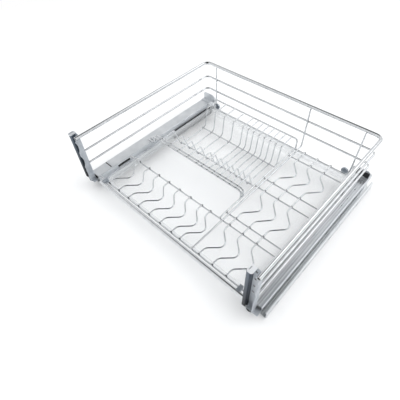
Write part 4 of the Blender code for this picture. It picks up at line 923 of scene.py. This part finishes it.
def ring(shape, inset, z, corner):
    """Points round the tray at that inset from its outer edge, with that corner radius."""
    low = Vector((TRAY_LOW.x + inset, TRAY_LOW.y + inset))
    high = Vector((TRAY_HIGH.x - inset, TRAY_HIGH.y - inset))
    centres = ((high.x - corner, high.y - corner), (low.x + corner, high.y - corner),
               (low.x + corner, low.y + corner), (high.x - corner, low.y + corner))
    points = []
    for number, (x, y) in enumerate(centres):
        for step in range(CORNER_STEPS + 1):
            angle = math.pi / 2 * (number + step / CORNER_STEPS)
            points.append(shape.verts.new((x + corner * math.cos(angle),
                                           y + corner * math.sin(angle), z)))
    return points


def bridge(shape, levels):
    """Faces between rings, and one that closes the last ring."""
    rings = [ring(shape, inset, z, corner) for inset, z, corner in levels]
    for outer, inner in zip(rings, rings[1:]):
        for index in range(len(outer)):
            after = (index + 1) % len(outer)
            shape.faces.new((outer[index], outer[after], inner[after], inner[index]))
    shape.faces.new(rings[-1])


def tray_levels():
    """Inset, height and corner of each ring of the sheet's upper side."""
    top, floor = TRAY_HIGH.z, TRAY_LOW.z + TRAY_WALL
    foot = TRAY_RIM + TRAY_DRAFT
    places = ((0, top - ROUNDING), (ROUNDING / 3, top - ROUNDING / 3), (ROUNDING, top),
              (TRAY_RIM - ROUNDING, top), (TRAY_RIM, top - ROUNDING),
              (foot - ROUNDING, floor + 2 * ROUNDING), (foot, floor + ROUNDING / 2),
              (foot + ROUNDING, floor), (foot + PANEL_IN, floor),
              (foot + PANEL_IN + PANEL_SLOPE, floor + PANEL_RISE))
    return [(inset, z, corner) for (inset, z), corner in zip(places, RING_CORNERS)]


def mould_tray():
    """The sheet with its upper side outward, and Solidify's wall under it."""
    shape = bmesh.new()
    bridge(shape, tray_levels())
    bmesh.ops.recalc_face_normals(shape, faces=shape.faces)
    tray = shaped("moulded_tray", shape, CLEAR_TRAY)
    mesh = tray.data
    if max(mesh.polygons, key=lambda face: face.area).normal.z < 0:
        mesh.flip_normals()
    mesh.shade_smooth()
    wall = tray.modifiers.new("wall", "SOLIDIFY")
    wall.thickness = TRAY_WALL
    wall.offset = -1
    wall.use_even_offset = True
    return fitted(tray, "tray", "tray_plastic", "drip_tray")


print("tray sheet:", len(mould_tray().data.polygons), "faces")

# %% [markdown]
# ## Camera, floor and light
# The camera stands where the photograph was taken from: in front and to the right of the rack,
# looking down at about fifty degrees. The floor is white and fades into the backdrop, and the world
# is white where the camera or the clear tray sees it. Polished wires need something dark to mirror,
# or they vanish on white, so they see a white room with a grey skirting, one dark band that arches
# over from the front, and a bright window behind. Large soft lamps hang above, and the metal
# mirrors only the room, not the lamps.

# %% Place the camera
CAMERA_PLACE = Vector((0.3693, -0.4577, 0.6524))
CAMERA_TURN = math.radians(45.7)
CAMERA_DOWN = math.radians(50.3)
CAMERA_ROLL = math.radians(-3.4)
FOCAL_SHARE = 332.8 / 400  # focal length over the picture's width

camera_data = bpy.data.cameras.new("studio_camera")
camera_data.lens = camera_data.sensor_width * FOCAL_SHARE
camera = bpy.data.objects.new("studio_camera", camera_data)
bpy.context.scene.collection.objects.link(camera)
aim = (Matrix.Rotation(CAMERA_TURN, 4, "Z") @ Matrix.Rotation(math.pi / 2 - CAMERA_DOWN, 4, "X")
       @ Matrix.Rotation(CAMERA_ROLL, 4, "Z"))
camera.matrix_world = Matrix.Translation(CAMERA_PLACE) @ aim
bpy.context.scene.camera = camera
print("camera lens in mm:", round(camera_data.lens, 1))

# %% Lay the floor
FLOOR_SIZE = 12.0
FLOOR_GAP = 0.0005         # under the rack, so that no faces fight
FLOOR_WHITE = "#FBFBFB"
FLOOR_ROUGHNESS = 0.9
FLOOR_SHINE = 0.1
LIT_RADIUS = (0.9, 1.7)    # past the lamps' reach the floor fades into the white backdrop


def studio_floor():
    """A matt white floor that keeps the rack's shadow near it and glows plain white far off."""
    bpy.ops.mesh.primitive_plane_add(size=FLOOR_SIZE, location=(0, 0, -FLOOR_GAP))
    floor = bpy.context.object
    floor.name = "studio_floor"
    material, tree, shader = new_material("white_floor", Roughness=FLOOR_ROUGHNESS)
    shader.inputs["Base Color"].default_value = linear(FLOOR_WHITE)
    shader.inputs["Specular IOR Level"].default_value = FLOOR_SHINE
    place = add_node(tree, "ShaderNodeTexCoord")
    away = add_node(tree, "ShaderNodeVectorMath", {"operation": "LENGTH"}, {},
                    {0: place.outputs["Object"]})
    fade = add_node(tree, "ShaderNodeMapRange", {"interpolation_type": "SMOOTHSTEP"},
                    {"From Min": LIT_RADIUS[0], "From Max": LIT_RADIUS[1]},
                    {"Value": away.outputs["Value"]})
    white = add_node(tree, "ShaderNodeEmission", {}, {"Color": (1, 1, 1, 1), "Strength": 1.0})
    both = add_node(tree, "ShaderNodeMixShader", {}, {},
                    {"Fac": fade.outputs["Result"], 1: shader.outputs["BSDF"],
                     2: white.outputs["Emission"]})
    tree.links.new(both.outputs["Shader"], tree.nodes["Material Output"].inputs["Surface"])
    floor.data.materials.append(material)
    return floor


print("floor:", studio_floor().name)

# %% Light the studio
def soft_lamp(name, place, size, power):
    """A square lamp that faces the rack and that metal doesn't mirror."""
    lamp = bpy.data.lights.new(name, "AREA")
    lamp.shape = "SQUARE"
    lamp.size = size
    lamp.energy = power
    holder = bpy.data.objects.new(name, lamp)
    holder.location = place
    holder.visible_glossy = False
    holder.rotation_euler = (-Vector(place)).to_track_quat("-Z", "Y").to_euler()
    bpy.context.scene.collection.objects.link(holder)
    return holder


BAND_WAY = Vector((0.7071, -0.7071, 0))  # the dark band rises here and arches over the rack
BAND_EDGE = (0.27, 0.52)   # where the band fades sideways
BAND_END = (-0.75, -0.50)  # where it ends, well down behind the rack
BAND_LEVEL = 0.02          # each level says how bright that part of the room is
SKIRTING = (-0.05, 0.25)   # the grey skirting fades out over these heights
SKIRTING_LEVEL = 0.50
ROOM_LEVEL = 1.15
WINDOW_WAY = Vector((0.22, 0.62, 0.75))  # a bright window that the right rails mirror
WINDOW_EDGE = (0.94, 0.985)
WINDOW_LEVEL = 1.8
FILL_LEVEL = 1.08
FILL_RISE = (-0.1, 0.9)    # the heights over which the fill turns from grey to white
FILL_STOPS = ((0.0, "#8A8D90"), (0.35, "#B9BCBF"), (0.8, "#F2F3F4"))


def mirrored_room(tree, direction, height):
    """What polished metal sees: white, but for the dark band, the skirting and a window."""
    def along(way):
        return add_node(tree, "ShaderNodeVectorMath", {"operation": "DOT_PRODUCT"}, {1: way},
                        {0: direction}).outputs["Value"]

    def faded(value, edge, low, high):
        return add_node(tree, "ShaderNodeMapRange", {"interpolation_type": "SMOOTHSTEP"},
                        {"From Min": edge[0], "From Max": edge[1], "To Min": low, "To Max": high},
                        {"Value": value}).outputs["Result"]

    def joined(operation, first, second):
        return add_node(tree, "ShaderNodeMath", {"operation": operation}, {},
                        {0: first, 1: second}).outputs["Value"]

    aside = add_node(tree, "ShaderNodeMath", {"operation": "ABSOLUTE"}, {},
                     {0: along(Vector((-BAND_WAY.y, BAND_WAY.x, 0)))}).outputs["Value"]
    beside = faded(aside, BAND_EDGE, BAND_LEVEL, 1.0)
    behind = faded(along(BAND_WAY), BAND_END, 1.0, 0.0)
    skirting = faded(height, SKIRTING, SKIRTING_LEVEL, ROOM_LEVEL)
    window = faded(along(WINDOW_WAY.normalized()), WINDOW_EDGE, 0.0, WINDOW_LEVEL)
    level = joined("MULTIPLY", joined("MAXIMUM", beside, behind), skirting)
    level = joined("ADD", level, window)
    return add_node(tree, "ShaderNodeBackground", {}, {}, {"Strength": level}).outputs["Background"]


def studio_world():
    """A grey room for the fill, the room that metal mirrors, and white for the camera."""
    world = bpy.data.worlds.new("studio_world")
    bpy.context.scene.world = world
    world.use_nodes = True
    tree = world.node_tree
    tree.nodes.clear()
    path = add_node(tree, "ShaderNodeLightPath")
    place = add_node(tree, "ShaderNodeTexCoord")
    parts = add_node(tree, "ShaderNodeSeparateXYZ", {}, {}, {"Vector": place.outputs["Generated"]})
    rise = add_node(tree, "ShaderNodeMapRange", {},
                    {"From Min": FILL_RISE[0], "From Max": FILL_RISE[1]},
                    {"Value": parts.outputs["Z"]})
    grey = ramp(tree, rise.outputs["Result"], FILL_STOPS)
    fill = add_node(tree, "ShaderNodeBackground", {}, {"Strength": FILL_LEVEL}, {"Color": grey})
    white = add_node(tree, "ShaderNodeBackground", {}, {"Color": (1, 1, 1, 1), "Strength": 1.0})
    inner = add_node(tree, "ShaderNodeMixShader", {}, {},
                     {"Fac": path.outputs["Is Glossy Ray"], 1: fill.outputs["Background"],
                      2: mirrored_room(tree, place.outputs["Generated"], parts.outputs["Z"])})
    shown = add_node(tree, "ShaderNodeMath", {"operation": "MAXIMUM"}, {},
                     {0: path.outputs["Is Camera Ray"], 1: path.outputs["Is Transmission Ray"]})
    blend = add_node(tree, "ShaderNodeMixShader", {}, {},
                     {"Fac": shown.outputs["Value"], 1: inner.outputs["Shader"],
                      2: white.outputs["Background"]})
    add_node(tree, "ShaderNodeOutputWorld", {}, {}, {"Surface": blend.outputs["Shader"]})


# Each lamp's name, place, width in metres and power in watts.
LAMPS = (("key_lamp", (1.3, 1.0, 1.7), 2.6, 27), ("fill_lamp", (-1.8, -0.4, 1.4), 2.0, 10))

studio_world()
for lamp_name, lamp_place, lamp_size, lamp_power in LAMPS:
    soft_lamp(lamp_name, lamp_place, lamp_size, lamp_power)
    print(f"{lamp_name}: {lamp_power} W over {lamp_size} m")
bpy.context.scene.view_settings.view_transform = "Standard"
